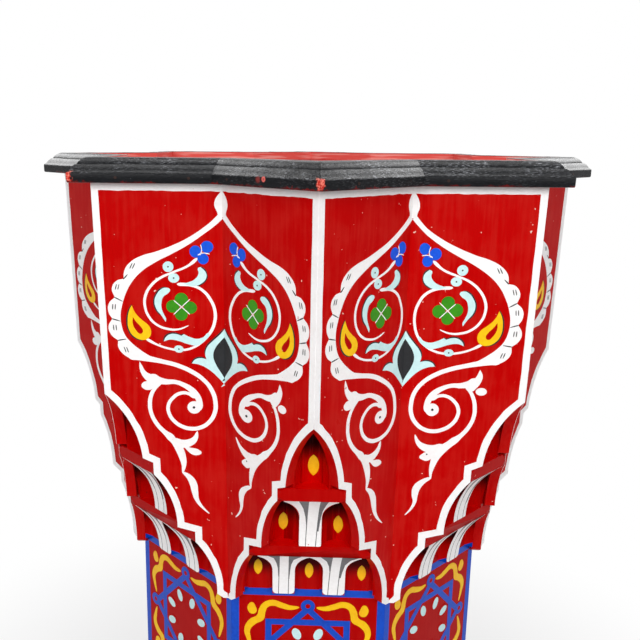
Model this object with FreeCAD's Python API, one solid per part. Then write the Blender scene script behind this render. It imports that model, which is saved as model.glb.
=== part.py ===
import FreeCAD, Part
import math
import os
from FreeCAD import Vector

# Painted kursi stand: a star-shaped tray top on an eight-sided shaft.
# The origin is on the floor, in the middle of the stand. Z points up.
# The first ridge of the star, and the first shaft face, look along -Y.
# Every length is in millimetres.

os.makedirs("parts", exist_ok=True)

# The whole stand
bay_count = 8
total_height = 530.0
clearance = 0.3
overrun = 40.0

# Star body: plan at the underside of the rim, and how far it narrows
ridge_radius = 192.0
valley_radius = 148.2
body_taper = 8.0
body_height = 279.0
panel_thickness = 7.0

# Shaft of eight mitred boards: its corners stand inside the valleys' feet
shaft_setback = 4.8
shaft_wall = 10.0

# Rim moulding, nailed round the outside of the panels
rim_height = 14.5
fascia_height = 6.5
fascia_depth = 11.5
arris_round = 0.9
round_bow_share = 0.2
crown_bow_share = 0.12
bead_height = 4.0
bead_depth = 6.6
groove_depth = 0.6
groove_height = 0.8
rim_top_depth = 1.0

# Brads that hold the moulding
brad_radius = 0.9
brad_length = 14.0
brad_inset = 18.0

# Tray
tray_depth = 8.0
top_thickness = 9.0

# Carved edge of a panel, tier by tier from the body's foot up to the tip of the top arch
lower_tier_height = 49.0
middle_tier_height = 49.0
top_arch_height = 46.8
upper_ledge_height = 8.3
middle_ledge_height = 7.5
tip_bevel = 3.0
step_slope = 3.0
arch_bow_share = 0.1

# Half widths of the carved edge, as shares of half a shaft face
upper_arch_share = 0.305
upper_ledge_share = 0.397
middle_arch_share = 0.59
middle_ledge_share = 0.749
lower_arch_share = 0.934

# Carved niches and the brackets between them
bracket_width = 14.8
bracket_foot_depth = 6.0
bracket_foot_lift = 5.5
niche_edge_gap = 6.0
niche_apex_gap = 0.8
lower_niche_rise = 17.0
middle_niche_rise = 20.0
middle_niche_extra = 0.3
upper_niche_edge_gap = 5.6
upper_niche_rise = 17.0
upper_niche_apex_gap = 9.2
upper_block_cover = 11.0

# Blocks glued in the ridge corners, under the tray
ridge_block_depth = 20.0

# Arched openings between the feet
foot_width = 21.5
foot_opening_height = 60.0
foot_notch_width = 5.5
foot_notch_height = 7.0
foot_arch_height = 122.0
foot_arch_bow_share = 0.14

# Values worked out from the sizes above
bay_angle = 2.0 * math.pi / bay_count
half_bay = bay_angle / 2.0
first_bay = -math.pi / 2.0
rim_underside = total_height - rim_height
shoulder = rim_underside - body_height
tray_floor = total_height - tray_depth
top_underside = tray_floor - top_thickness
foot_share = (ridge_radius - body_taper) / ridge_radius
shaft_radius = valley_radius * foot_share - shaft_setback
shaft_face = shaft_radius * math.cos(half_bay)
half_face = shaft_radius * math.sin(half_bay)
foot_opening_half_width = half_face - foot_width

# Drops are measured down from the rim's underside, half widths sideways from the bay's middle plane
middle_ledge_drop = body_height - lower_tier_height
upper_ledge_drop = middle_ledge_drop - middle_tier_height
apex_drop = upper_ledge_drop - top_arch_height
upper_arch_half_width = half_face * upper_arch_share
upper_ledge_half_width = half_face * upper_ledge_share
middle_arch_half_width = half_face * middle_arch_share
middle_ledge_half_width = half_face * middle_ledge_share
lower_arch_half_width = half_face * lower_arch_share
niche_radius = (lower_arch_half_width - niche_edge_gap - bracket_width) / 3.0
middle_niche_radius = niche_radius + middle_niche_extra
upper_niche_radius = upper_arch_half_width - upper_niche_edge_gap


def bay_point(outward, sideways, height):
    """A point of the first bay: outward from the axis, sideways to the right."""
    return Vector(sideways, -outward, height)


def plan_share(drop):
    """Size of the star's plan at a drop below the rim, as a share of its size there."""
    return 1.0 - (1.0 - foot_share) * drop / body_height


def ridge_at(drop):
    """The ridge line of the first bay at a drop."""
    return bay_point(ridge_radius * plan_share(drop), 0.0, rim_underside - drop)


def valley_at(drop):
    """The valley line to the right of the first bay at a drop."""
    radius = valley_radius * plan_share(drop)
    return bay_point(radius * math.cos(half_bay), radius * math.sin(half_bay), rim_underside - drop)


# Directions of the panel to the right of the first ridge
along_panel = (valley_at(0.0) - ridge_at(0.0)).normalize()
down_ridge = (ridge_at(body_height) - ridge_at(0.0)).normalize()
panel_normal = down_ridge.cross(along_panel).normalize()
up_panel = panel_normal.cross(along_panel).normalize()
if up_panel.z < 0.0:
    up_panel = up_panel * -1.0
if panel_normal.y > 0.0:
    panel_normal = panel_normal * -1.0


def on_panel(sideways, drop):
    """The point of the panel's outer face at a distance from the bay's middle plane, and a drop."""
    start = ridge_at(drop)
    return start + along_panel * (sideways / along_panel.x)


def ledge_front(sideways, drop):
    """How far out a ledge stands whose front meets the panel's face at that distance and drop."""
    return -on_panel(sideways, drop).y


def face_of(points):
    """A flat face from straight edges."""
    return Part.Face(Part.makePolygon(points + [points[0]]))


def arc_edge(start, end, bow_share, bow_way):
    """An arc that stands off its chord by a share of the chord, towards bow_way."""
    chord = end - start
    side = bow_way - chord * (bow_way.dot(chord) / chord.dot(chord))
    side.normalize()
    middle = (start + end) * 0.5 + side * (chord.Length * bow_share)
    return Part.Arc(start, middle, end).toShape()


def line_edge(start, end):
    """A straight edge."""
    return Part.LineSegment(start, end).toShape()


def biggest_solid(shape):
    """The one solid that a cut leaves, without specks."""
    return max(shape.Solids, key=lambda solid: solid.Volume)


def bay_slice(start_angle, end_angle):
    """The part of space between two upright planes through the axis, measured from the first ridge."""
    reach = 2.0 * ridge_radius
    corners = [Vector(0.0, 0.0, -overrun)]
    for angle in (start_angle, end_angle):
        corners.append(bay_point(reach * math.cos(angle), reach * math.sin(angle), -overrun))
    return face_of(corners).extrude(Vector(0.0, 0.0, total_height + 2.0 * overrun))


def behind_panels(depth):
    """The space of the first bay that lies at least depth behind the outer faces of its panels."""
    reach = 2.0 * ridge_radius
    inset = panel_normal * -depth
    back = Vector(0.0, 2.0 * reach, 0.0)
    wires = []
    for drop in (-overrun, body_height + overrun):
        start = ridge_at(drop) + inset
        inner_ridge = start - along_panel * (start.x / along_panel.x)
        right = inner_ridge + along_panel * reach
        left = Vector(-right.x, right.y, right.z)
        wires.append(Part.makePolygon([inner_ridge, right, right + back, left + back, left, inner_ridge]))
    return Part.makeLoft(wires, True, True)


def shaft_core(radius, low, high):
    """A full eight-sided prism."""
    corners = []
    for k in range(bay_count):
        angle = first_bay + half_bay + k * bay_angle
        corners.append(Vector(radius * math.cos(angle), radius * math.sin(angle), low))
    return face_of(corners).extrude(Vector(0.0, 0.0, high - low))


def make_panel():
    """The panel to the right of the first ridge, with its carved lower edge sawn square to the face."""
    outward = Vector(along_panel)
    ridge_top = on_panel(0.0, -rim_height)
    apex = on_panel(0.0, apex_drop)
    # each step is sawn a little downhill, from the arch's foot out to the corner over the ledge's end
    upper_foot = on_panel(upper_arch_half_width, upper_ledge_drop - step_slope)
    upper_corner = on_panel(upper_ledge_half_width, upper_ledge_drop)
    upper_under = on_panel(upper_ledge_half_width, upper_ledge_drop + upper_ledge_height)
    middle_foot = on_panel(middle_arch_half_width, middle_ledge_drop - step_slope)
    middle_corner = on_panel(middle_ledge_half_width, middle_ledge_drop)
    middle_under = on_panel(middle_ledge_half_width, middle_ledge_drop + middle_ledge_height)
    lower_foot = on_panel(lower_arch_half_width, body_height - tip_bevel)
    tip_start = on_panel(lower_arch_half_width + tip_bevel, body_height)
    tip_end = on_panel(valley_radius, body_height)
    valley_top = on_panel(valley_radius, -rim_height)
    # past the ridge and the valley the board runs on, and the mitres cut it off
    past_ridge_top = ridge_top - along_panel * overrun
    past_ridge_apex = apex - along_panel * overrun
    edges = [
        line_edge(past_ridge_top, past_ridge_apex),
        line_edge(past_ridge_apex, apex),
        arc_edge(apex, upper_foot, arch_bow_share, outward),
        line_edge(upper_foot, upper_corner),
        line_edge(upper_corner, upper_under),
        arc_edge(upper_under, middle_foot, arch_bow_share, outward),
        line_edge(middle_foot, middle_corner),
        line_edge(middle_corner, middle_under),
        arc_edge(middle_under, lower_foot, arch_bow_share, outward),
        line_edge(lower_foot, tip_start),
        line_edge(tip_start, tip_end),
        line_edge(tip_end, valley_top),
        line_edge(valley_top, past_ridge_top),
    ]
    board = Part.Face(Part.Wire(edges)).extrude(panel_normal * -panel_thickness)
    board = board.common(bay_slice(0.0, half_bay))
    board = board.cut(shaft_core(shaft_radius, -overrun, total_height + overrun))
    level = Part.makeBox(
        4.0 * ridge_radius, 4.0 * ridge_radius, 2.0 * overrun,
        Vector(-2.0 * ridge_radius, -2.0 * ridge_radius, total_height))
    board = board.cut(level)
    for place in brad_places():
        board = board.cut(brad(place))
    return biggest_solid(board)


def moulding_section():
    """The outline of the rim moulding: inward foot, fascia, bead, groove and rounded top."""
    bead_top = fascia_height + bead_height

    def corner(outward, up):
        return on_panel(0.0, 0.0) + panel_normal * outward + up_panel * up - along_panel * overrun
    foot_in = corner(0.0, 0.0)
    foot_out = corner(fascia_depth - arris_round, 0.0)
    fascia_low = corner(fascia_depth, arris_round)
    fascia_high = corner(fascia_depth, fascia_height - arris_round)
    fascia_top = corner(fascia_depth - arris_round, fascia_height)
    bead_start = corner(fascia_depth - 2.0 * arris_round, fascia_height)
    bead_end = corner(bead_depth, bead_top)
    groove_low = corner(bead_depth - groove_depth, bead_top - groove_height)
    groove_high = corner(bead_depth - groove_depth, bead_top)
    crown_end = corner(rim_top_depth, rim_height)
    top_in = corner(0.0, rim_height)
    up_out = panel_normal + up_panel
    edges = [
        line_edge(foot_in, foot_out),
        arc_edge(foot_out, fascia_low, round_bow_share, panel_normal - up_panel),
        line_edge(fascia_low, fascia_high),
        arc_edge(fascia_high, fascia_top, round_bow_share, up_out),
        line_edge(fascia_top, bead_start),
        arc_edge(bead_start, bead_end, crown_bow_share, up_out),
        line_edge(bead_end, groove_low),
        line_edge(groove_low, groove_high),
        arc_edge(groove_high, crown_end, crown_bow_share, up_out),
        line_edge(crown_end, top_in),
        line_edge(top_in, foot_in),
    ]
    return Part.Face(Part.Wire(edges))


def make_moulding():
    """One strip of the rim moulding, mitred at the ridge and the valley."""
    run = (valley_at(0.0) - ridge_at(0.0)).Length + 2.0 * overrun
    strip = moulding_section().extrude(along_panel * run)
    strip = strip.common(bay_slice(0.0, half_bay))
    for place in brad_places():
        strip = strip.cut(brad(place))
    return biggest_solid(strip)


def brad_places():
    """Where the two brads of a strip go in, on the fascia's face."""
    length = (valley_at(0.0) - ridge_at(0.0)).Length
    places = []
    for along in (brad_inset, length - brad_inset):
        places.append(on_panel(0.0, 0.0) + along_panel * along
                      + panel_normal * fascia_depth + up_panel * (fascia_height / 2.0))
    return places


def brad(place):
    """One brad, driven square to the panel."""
    return Part.makeCylinder(brad_radius, brad_length, place, panel_normal * -1.0)


def pointed_arch(half_width, foot_height, spring_height, apex_height, middle, front, back):
    """A prism with a pointed arch for its outline, that runs from front to back of the first bay."""
    def corner(sideways, height):
        return bay_point(front, middle + sideways, height)
    left_foot = corner(-half_width, foot_height)
    right_foot = corner(half_width, foot_height)
    left_spring = corner(-half_width, spring_height)
    right_spring = corner(half_width, spring_height)
    apex = corner(0.0, apex_height)
    # this bow makes each side leave its upright without a kink
    lean = math.atan(half_width / (apex_height - spring_height))
    bow = math.tan(lean / 2.0) / 2.0
    edges = [
        line_edge(left_foot, right_foot),
        line_edge(right_foot, right_spring),
        arc_edge(right_spring, apex, bow, Vector(1.0, 0.0, 1.0)),
        arc_edge(apex, left_spring, bow, Vector(-1.0, 0.0, 1.0)),
        line_edge(left_spring, left_foot),
    ]
    return Part.Face(Part.Wire(edges)).extrude(Vector(0.0, front - back, 0.0))


def niche(radius, middle, centre, front, low, rise, apex_height):
    """What a niche removes: an arch in front view, round at the back in plan."""
    spring = apex_height - rise
    behind = centre - 2.0 * radius
    arch = pointed_arch(radius, low - clearance, spring, apex_height, middle, front, behind)
    start = bay_point(front, middle - radius, low - overrun)
    left = bay_point(centre, middle - radius, low - overrun)
    back = bay_point(centre - radius, middle, low - overrun)
    right = bay_point(centre, middle + radius, low - overrun)
    finish = bay_point(front, middle + radius, low - overrun)
    edges = [
        line_edge(start, left),
        Part.Arc(left, back, right).toShape(),
        line_edge(right, finish),
        line_edge(finish, start),
    ]
    plan = Part.Face(Part.Wire(edges)).extrude(Vector(0.0, 0.0, 2.0 * overrun + apex_height - low))
    return arch.common(plan)


def slab(half_width, low, high):
    """Everything in front of the axis, within a half width of the bay's middle plane, between two heights."""
    return Part.makeBox(
        2.0 * half_width, 2.0 * ridge_radius, high - low,
        Vector(-half_width, -2.0 * ridge_radius, low))


def side_point(outward, height):
    """A point of a block's side outline, at the left end of its sweep."""
    return bay_point(outward, -ridge_radius, height)


def tier_block(outline, panels, room):
    """A carved block: its side outline swept across the bay, scribed to the panels, kept to its room."""
    block = Part.Face(Part.Wire(outline)).extrude(Vector(2.0 * ridge_radius, 0.0, 0.0))
    block = block.common(behind_panels(0.0)).common(bay_slice(-half_bay, half_bay))
    for panel in panels:
        block = block.cut(panel)
    return biggest_solid(block.common(room))


def ledge_block(ledge_drop, ledge_height, ledge_half_width, niche_middle, foot_out, low, panels):
    """A block with a straight ledge on top and a hollow front under it.

    Past the middle of its outer niches it stays behind the panels, so their sawn edges close the niches.
    """
    high = rim_underside - ledge_drop
    under = high - ledge_height
    front = ledge_front(ledge_half_width, ledge_drop + ledge_height / 2.0)
    run = front - foot_out
    rise = under - low
    radius = (run * run + rise * rise) / (2.0 * run)
    half_turn = math.asin(rise / radius) / 2.0
    bow = side_point(foot_out + radius * (1.0 - math.cos(half_turn)), low + radius * math.sin(half_turn))
    foot_back = side_point(shaft_face, low)
    foot_front = side_point(foot_out, low)
    ledge_low = side_point(front, under)
    ledge_high = side_point(front, high)
    top_back = side_point(shaft_face, high)
    outline = [
        line_edge(foot_back, foot_front),
        Part.Arc(foot_front, bow, ledge_low).toShape(),
        line_edge(ledge_low, ledge_high),
        line_edge(ledge_high, top_back),
        line_edge(top_back, foot_back),
    ]
    room = behind_panels(panel_thickness).fuse(slab(niche_middle, low, high))
    room = room.fuse(slab(lower_arch_half_width, under, high))
    return tier_block(outline, panels, room)


def make_lower_block(panels):
    """The lowest tier: three niches with two brackets between them, hung on the shaft's face."""
    foot_out = shaft_face + bracket_foot_depth
    low = shoulder + bracket_foot_lift
    outer_middle = 2.0 * niche_radius + bracket_width
    block = ledge_block(middle_ledge_drop, middle_ledge_height, middle_ledge_half_width,
                        outer_middle, foot_out, low, panels)
    apex = rim_underside - middle_ledge_drop - middle_ledge_height - niche_apex_gap
    for middle in (-outer_middle, 0.0, outer_middle):
        block = block.cut(niche(niche_radius, middle, foot_out, ridge_radius, low, lower_niche_rise, apex))
    return biggest_solid(block)


def make_middle_block(panels):
    """The middle tier: two niches with one bracket between them, stood on the ledge below."""
    low = rim_underside - middle_ledge_drop
    foot_out = ledge_front(middle_ledge_half_width, middle_ledge_drop + middle_ledge_height / 2.0)
    middle = niche_radius + bracket_width / 2.0
    block = ledge_block(upper_ledge_drop, upper_ledge_height, upper_ledge_half_width,
                        middle, foot_out, low, panels)
    apex = rim_underside - upper_ledge_drop - upper_ledge_height - niche_apex_gap
    for side in (-middle, middle):
        block = block.cut(
            niche(middle_niche_radius, side, foot_out, ridge_radius, low, middle_niche_rise, apex))
    return biggest_solid(block)


def make_upper_block(panels):
    """The top tier: one tall niche under the ridge."""
    low = rim_underside - upper_ledge_drop
    high = rim_underside - apex_drop + upper_block_cover
    front = ledge_front(upper_ledge_half_width, upper_ledge_drop + upper_ledge_height / 2.0)
    corners = [side_point(shaft_face, low), side_point(front, low),
               side_point(front, high), side_point(shaft_face, high)]
    outline = [line_edge(corners[i], corners[(i + 1) % len(corners)]) for i in range(len(corners))]
    block = tier_block(outline, panels, behind_panels(panel_thickness))
    apex = rim_underside - apex_drop - upper_niche_apex_gap
    block = block.cut(niche(upper_niche_radius, 0.0, front, ridge_radius, low, upper_niche_rise, apex))
    return biggest_solid(block)


def make_ridge_block():
    """A glue block in the inner corner of a ridge, between the top tier and the tray."""
    low = rim_underside - apex_drop + upper_block_cover
    inner_ridge = ridge_radius - panel_thickness / panel_normal.dot(bay_point(1.0, 0.0, 0.0))
    corner = Part.makeBox(
        4.0 * ridge_radius, ridge_radius, top_underside - low,
        Vector(-2.0 * ridge_radius, -(inner_ridge - ridge_block_depth) - ridge_radius, low))
    return biggest_solid(corner.common(behind_panels(panel_thickness)))


def make_shaft_board():
    """One mitred board of the shaft, from the floor to the tray, with an arched opening at its foot."""
    outer = shaft_radius
    inner = (shaft_face - shaft_wall) / math.cos(half_bay)
    corners = []
    for radius, side in ((outer, -1.0), (outer, 1.0), (inner, 1.0), (inner, -1.0)):
        corners.append(bay_point(radius * math.cos(half_bay), side * radius * math.sin(half_bay), 0.0))
    board = face_of(corners).extrude(Vector(0.0, 0.0, top_underside))
    front = shaft_radius + overrun
    notch_half_width = foot_opening_half_width - foot_notch_width
    notch_top = foot_opening_height + foot_notch_height

    def corner(sideways, height):
        return bay_point(front, sideways, height)
    right = [corner(foot_opening_half_width, -overrun), corner(foot_opening_half_width, foot_opening_height),
             corner(notch_half_width, foot_opening_height), corner(notch_half_width, notch_top)]
    left = [Vector(-point.x, point.y, point.z) for point in right]
    apex = corner(0.0, foot_arch_height)
    edges = [line_edge(left[0], right[0])]
    edges += [line_edge(right[i], right[i + 1]) for i in range(len(right) - 1)]
    edges.append(arc_edge(right[-1], apex, foot_arch_bow_share, Vector(1.0, 0.0, 1.0)))
    edges.append(arc_edge(apex, left[-1], foot_arch_bow_share, Vector(-1.0, 0.0, 1.0)))
    edges += [line_edge(left[i + 1], left[i]) for i in reversed(range(len(left) - 1))]
    opening = Part.Face(Part.Wire(edges)).extrude(Vector(0.0, front, 0.0))
    return biggest_solid(board.cut(opening))


def make_top_panel():
    """The star-shaped floor of the tray, let in between the panels."""
    drop = rim_underside - top_underside
    share = plan_share(drop)
    towards_ridge = panel_normal.dot(bay_point(1.0, 0.0, 0.0))
    towards_valley = panel_normal.dot(bay_point(math.cos(half_bay), math.sin(half_bay), 0.0))
    inset = panel_thickness + clearance
    ridge = ridge_radius * share - inset / towards_ridge
    valley = valley_radius * share - inset / towards_valley
    corners = []
    for k in range(bay_count):
        angle = first_bay + k * bay_angle
        corners.append(Vector(ridge * math.cos(angle), ridge * math.sin(angle), top_underside))
        angle += half_bay
        corners.append(Vector(valley * math.cos(angle), valley * math.sin(angle), top_underside))
    return face_of(corners).extrude(Vector(0.0, 0.0, top_thickness))


def mirrored(shape):
    """The same piece on the left side of the bay."""
    return shape.mirror(Vector(0.0, 0.0, 0.0), Vector(1.0, 0.0, 0.0))


def in_bay(shape, k):
    """A copy of a first-bay piece, turned into bay k."""
    turn = FreeCAD.Matrix()
    turn.rotateZ(k * bay_angle)
    return shape.transformed(turn, True)


def save(name, solids):
    """Writes one sub-part."""
    shape = solids[0] if len(solids) == 1 else Part.makeCompound(solids)
    shape.exportStep(os.path.join("parts", name + ".step"))
    volume = sum(solid.Volume for solid in solids)
    print(name, len(solids), "solid(s)", round(volume), "mm3", "valid" if shape.isValid() else "NOT VALID")


def main():
    right_panel = make_panel()
    left_panel = mirrored(right_panel)
    right_strip = make_moulding()
    left_strip = mirrored(right_strip)
    panels = [left_panel, right_panel]
    lower_block = make_lower_block(panels)
    middle_block = make_middle_block(panels)
    upper_block = make_upper_block(panels)
    ridge_block = make_ridge_block()
    shaft_board = make_shaft_board()
    brads = [brad(place) for place in brad_places()]
    brads += [mirrored(pin) for pin in brads]

    save("top_panel", [make_top_panel()])
    for k in range(bay_count):
        bay = str(k + 1)
        save("rim_moulding_" + bay, [in_bay(left_strip, k), in_bay(right_strip, k)])
        save("body_panel_left_" + bay, [in_bay(left_panel, k)])
        save("body_panel_right_" + bay, [in_bay(right_panel, k)])
        save("upper_niche_" + bay, [in_bay(upper_block, k)])
        save("middle_niches_" + bay, [in_bay(middle_block, k)])
        save("lower_niches_" + bay, [in_bay(lower_block, k)])
        save("shaft_board_" + bay, [in_bay(shaft_board, k)])
    save("ridge_blocks", [in_bay(ridge_block, k) for k in range(bay_count)])
    save("rim_brads", [in_bay(pin, k) for k in range(bay_count) for pin in brads])


main()
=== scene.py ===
import math
import bpy
from mathutils import Matrix, Vector, noise


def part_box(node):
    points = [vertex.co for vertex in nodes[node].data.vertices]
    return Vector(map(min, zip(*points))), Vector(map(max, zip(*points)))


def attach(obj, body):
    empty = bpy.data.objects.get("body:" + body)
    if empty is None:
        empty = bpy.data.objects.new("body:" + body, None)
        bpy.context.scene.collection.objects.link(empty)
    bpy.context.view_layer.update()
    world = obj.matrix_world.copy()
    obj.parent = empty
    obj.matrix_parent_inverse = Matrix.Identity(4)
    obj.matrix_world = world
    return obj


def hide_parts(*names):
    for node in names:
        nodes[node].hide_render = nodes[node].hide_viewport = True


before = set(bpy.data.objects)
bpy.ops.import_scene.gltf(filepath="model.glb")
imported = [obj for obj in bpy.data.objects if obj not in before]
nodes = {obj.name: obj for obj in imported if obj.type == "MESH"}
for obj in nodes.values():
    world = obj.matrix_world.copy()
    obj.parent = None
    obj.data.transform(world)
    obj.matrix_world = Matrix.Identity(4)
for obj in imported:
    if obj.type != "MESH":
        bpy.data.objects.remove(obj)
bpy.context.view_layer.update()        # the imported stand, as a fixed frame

# Painted kursi stand: the looks. Drawing is done flat in millimetres and then laid on the boards.
mm = 0.001
handSeed = 7
noise.seed_set(handSeed)       # the hand's wander is the same in each run
bpy.ops.object.select_all(action="DESELECT")


def frontOf(name):
    # how far out a piece of the first bay stands
    return -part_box(name)[0][1] / mm


stand = {                      # millimetres, the sizes of the frame's pieces
    "bays": 8,
    "height": 530.0,
    "rimUnderside": 515.5,
    "ridgeRadius": 192.0,
    "valleyRadius": 148.2,
    "taper": 8.0,
    "bodyHeight": 279.0,
    "board": 7.0,              # thickness of the panels
    "shaftFace": frontOf("shaft_board_1"),
    "shaftHalf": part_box("shaft_board_1")[1][0] / mm,
    "paint": 0.12,             # thickness of the paint that is drawn on
    "layer": 0.02,             # how much each coat stands on the one below
    "sunk": 0.03,              # how far the back of the paint lies in the wood
}
allBays = range(1, stand["bays"] + 1)
bayTurn = 2 * math.pi / stand["bays"]
footShare = (stand["ridgeRadius"] - stand["taper"]) / stand["ridgeRadius"]


def planShare(drop):
    return 1 - (1 - footShare) * drop / stand["bodyHeight"]


def ridgeTurn(bay):
    # from the first ridge, at -Y, to this bay's
    return Matrix.Rotation((bay - 1) * bayTurn, 3, "Z")


def creaseTurn(crease):
    # from a valley drawn at -Y to its own place, half a bay past the ridge of the same number
    return Matrix.Rotation((crease - 1) * bayTurn + bayTurn / 2, 3, "Z")


# Right panel of a valley, with the valley at -Y: the way along it, down the valley, and up the panel
ridgeWay = Vector((math.sin(bayTurn / 2), -math.cos(bayTurn / 2), 0))      # out through the ridge
ridgeSide = Vector((math.cos(bayTurn / 2), math.sin(bayTurn / 2), 0))      # across that ridge
ridgeX = stand["ridgeRadius"] * math.sin(bayTurn / 2)
ridgeY = -stand["ridgeRadius"] * math.cos(bayTurn / 2)
panelWay = Vector((ridgeX, ridgeY + stand["valleyRadius"], 0))
panelLength = panelWay.length
panelWay.normalize()
downValley = Vector((0, stand["valleyRadius"] * (1 - footShare) / stand["bodyHeight"], -1))
panelNormal = panelWay.cross(downValley).normalized()
if panelNormal.y > 0:
    panelNormal = -panelNormal
upPanel = (-downValley).normalized()
upPanel = (upPanel - panelNormal * upPanel.dot(panelNormal)).normalized()


def offPanel(along, out, up):
    # a place beside that panel, from the valley's corner under the rim
    corner = Vector((0, -stand["valleyRadius"], stand["rimUnderside"]))
    return corner + panelWay * along + panelNormal * out + upPanel * up


# Picking, cutting and finishing meshes

def pick(*things):
    bpy.ops.object.select_all(action="DESELECT")
    for thing in things:
        thing.select_set(True)
    bpy.context.view_layer.objects.active = things[0]


def joinUp(name, things):
    pick(*things)
    bpy.ops.object.join()
    joined = bpy.context.view_layer.objects.active
    joined.name = name
    joined.data.name = name
    bpy.ops.object.select_all(action="DESELECT")
    return joined


def copyOf(thing, name):
    twin = thing.copy()
    twin.data = thing.data.copy()
    twin.name = name
    twin.data.name = name
    bpy.context.scene.collection.objects.link(twin)
    return twin


def sliced(piece, places, direction, **ends):
    # cuts across a direction: more edges there, so that a flat patch can follow a hollow, or a sawn end
    pick(piece)
    bpy.ops.object.mode_set(mode="EDIT")
    for place in places:
        bpy.ops.mesh.select_all(action="SELECT")
        bpy.ops.mesh.bisect(plane_co=Vector(direction) * place, plane_no=direction, **ends)
    bpy.ops.object.mode_set(mode="OBJECT")
    bpy.ops.object.select_all(action="DESELECT")


def mergeUp(piece, reach):
    # doubles merged, and every face turned outwards
    pick(piece)
    bpy.ops.object.mode_set(mode="EDIT")
    bpy.ops.mesh.select_all(action="SELECT")
    bpy.ops.mesh.remove_doubles(threshold=reach)
    bpy.ops.mesh.normals_make_consistent(inside=False)
    bpy.ops.object.mode_set(mode="OBJECT")
    bpy.ops.object.select_all(action="DESELECT")


def smoothTo(piece, degrees):
    pick(piece)
    bpy.ops.object.shade_smooth_by_angle(angle=math.radians(degrees))
    bpy.ops.object.select_all(action="DESELECT")


def dress(piece, *finishes):
    piece.data.materials.clear()
    for finish in finishes:
        piece.data.materials.append(finish)


def finishPiece(piece):
    piece.data.validate()
    piece.data.update()
    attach(piece, "root")


# Shader nodes: each of these lays down a node or a few and gives the socket they put out

def srgb(red, green, blue):
    def linear(value):
        value /= 255
        return value / 12.92 if value <= 0.04045 else ((value + 0.055) / 1.055) ** 2.4
    return (linear(red), linear(green), linear(blue), 1)


def addNode(tree, kind, **settings):
    node = tree.nodes.new(kind)
    for label, value in settings.items():
        setattr(node, label, value)
    return node


def feed(tree, socket, value):
    # a socket takes a fixed value, or a link from another socket
    if isinstance(value, bpy.types.NodeSocket):
        tree.links.new(value, socket)
    else:
        socket.default_value = value


def feedAll(tree, node, values):
    for label, value in values.items():
        feed(tree, node.inputs[label], value)


def mathOf(tree, operation, *values, clamp=False):
    node = addNode(tree, "ShaderNodeMath", operation=operation, use_clamp=clamp)
    for socket, value in zip(node.inputs, values):
        feed(tree, socket, value)
    return node.outputs[0]


def vectorOf(tree, operation, *places):
    # a place for MULTIPLY, and a number for the other operations
    node = addNode(tree, "ShaderNodeVectorMath", operation=operation)
    for socket, place in zip(node.inputs, places):
        feed(tree, socket, place)
    return node.outputs["Vector" if operation == "MULTIPLY" else "Value"]


def placeOf(tree, kind="Object"):
    return addNode(tree, "ShaderNodeTexCoord").outputs[kind]


def axisOf(tree, place, axis):
    parts = addNode(tree, "ShaderNodeSeparateXYZ")
    feed(tree, parts.inputs[0], place)
    return parts.outputs[axis]


def between(tree, source, low, high, first=0.0, last=1.0, curve="SMOOTHSTEP"):
    # a rise from the first value to the last, as the source goes from low to high
    rise = addNode(tree, "ShaderNodeMapRange", interpolation_type=curve)
    feedAll(tree, rise, {"Value": source, "From Min": low, "From Max": high, "To Min": first, "To Max": last})
    return rise.outputs["Result"]


def coverWith(tree, below, colour, mask):
    mix = addNode(tree, "ShaderNodeMix", data_type="RGBA")
    feedAll(tree, mix, {"A": below, "B": colour, "Factor": mask})
    return mix.outputs["Result"]


def noiseOf(tree, place, scale, detail):
    grain = addNode(tree, "ShaderNodeTexNoise")
    feedAll(tree, grain, {"Vector": place, "Scale": scale, "Detail": detail})
    return grain.outputs["Fac"]


def grainOf(tree, place, stretch, detail):
    return noiseOf(tree, vectorOf(tree, "MULTIPLY", place, stretch), 1.0, detail)


def offPlanes(tree, place, operation):
    # how far a place is from the four upright planes through the axis: the least or the most of the four
    found = None
    for i in range(4):
        angle = i * math.pi / 4
        side = vectorOf(tree, "DOT_PRODUCT", place, (math.sin(angle), -math.cos(angle), 0))
        away = mathOf(tree, "ABSOLUTE", side)
        found = away if found is None else mathOf(tree, operation, found, away)
    return found


# Shader groups and the paints made with them

def newGroup(name, ins, outs):
    group = bpy.data.node_groups.new(name, "ShaderNodeTree")
    for label, kind, value in ins:
        socket = group.interface.new_socket(label, in_out="INPUT", socket_type=kind)
        if value is not None:
            socket.default_value = value
    for label in outs:
        group.interface.new_socket(label, in_out="OUTPUT", socket_type="NodeSocketFloat")
    return group, group.nodes.new("NodeGroupInput").outputs, group.nodes.new("NodeGroupOutput")


def brushGroup():
    # long brush streaks, soft mottling and a fine relief, on a stretched copy of the place
    group, given, goingOut = newGroup(
        "handBrushed",
        [("Place", "NodeSocketVector", None), ("Stretch", "NodeSocketVector", (900, 900, 45)),
         ("Mottle Size", "NodeSocketFloat", 40.0)],
        ["Streaks", "Mottle", "Relief"])
    streaks = grainOf(group, given["Place"], given["Stretch"], 5.0)
    mottle = noiseOf(group, given["Place"], given["Mottle Size"], 3.0)
    relief = mathOf(group, "MULTIPLY_ADD", streaks, 0.4, mottle)
    feedAll(group, goingOut, {"Streaks": streaks, "Mottle": mottle, "Relief": relief})
    return group


def speckGroup():
    # sparse chips: the peaks of a noise, cut by a threshold
    group, given, goingOut = newGroup(
        "chips",
        [("Place", "NodeSocketVector", None), ("Size", "NodeSocketFloat", 90.0),
         ("Threshold", "NodeSocketFloat", 0.72)],
        ["Mask"])
    spots = noiseOf(group, given["Place"], given["Size"], 2.0)
    cut = mathOf(group, "SUBTRACT", spots, given["Threshold"])
    feed(group, goingOut.inputs["Mask"], mathOf(group, "MULTIPLY", cut, 40.0, clamp=True))
    return group


brushed = brushGroup()
chips = speckGroup()


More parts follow.
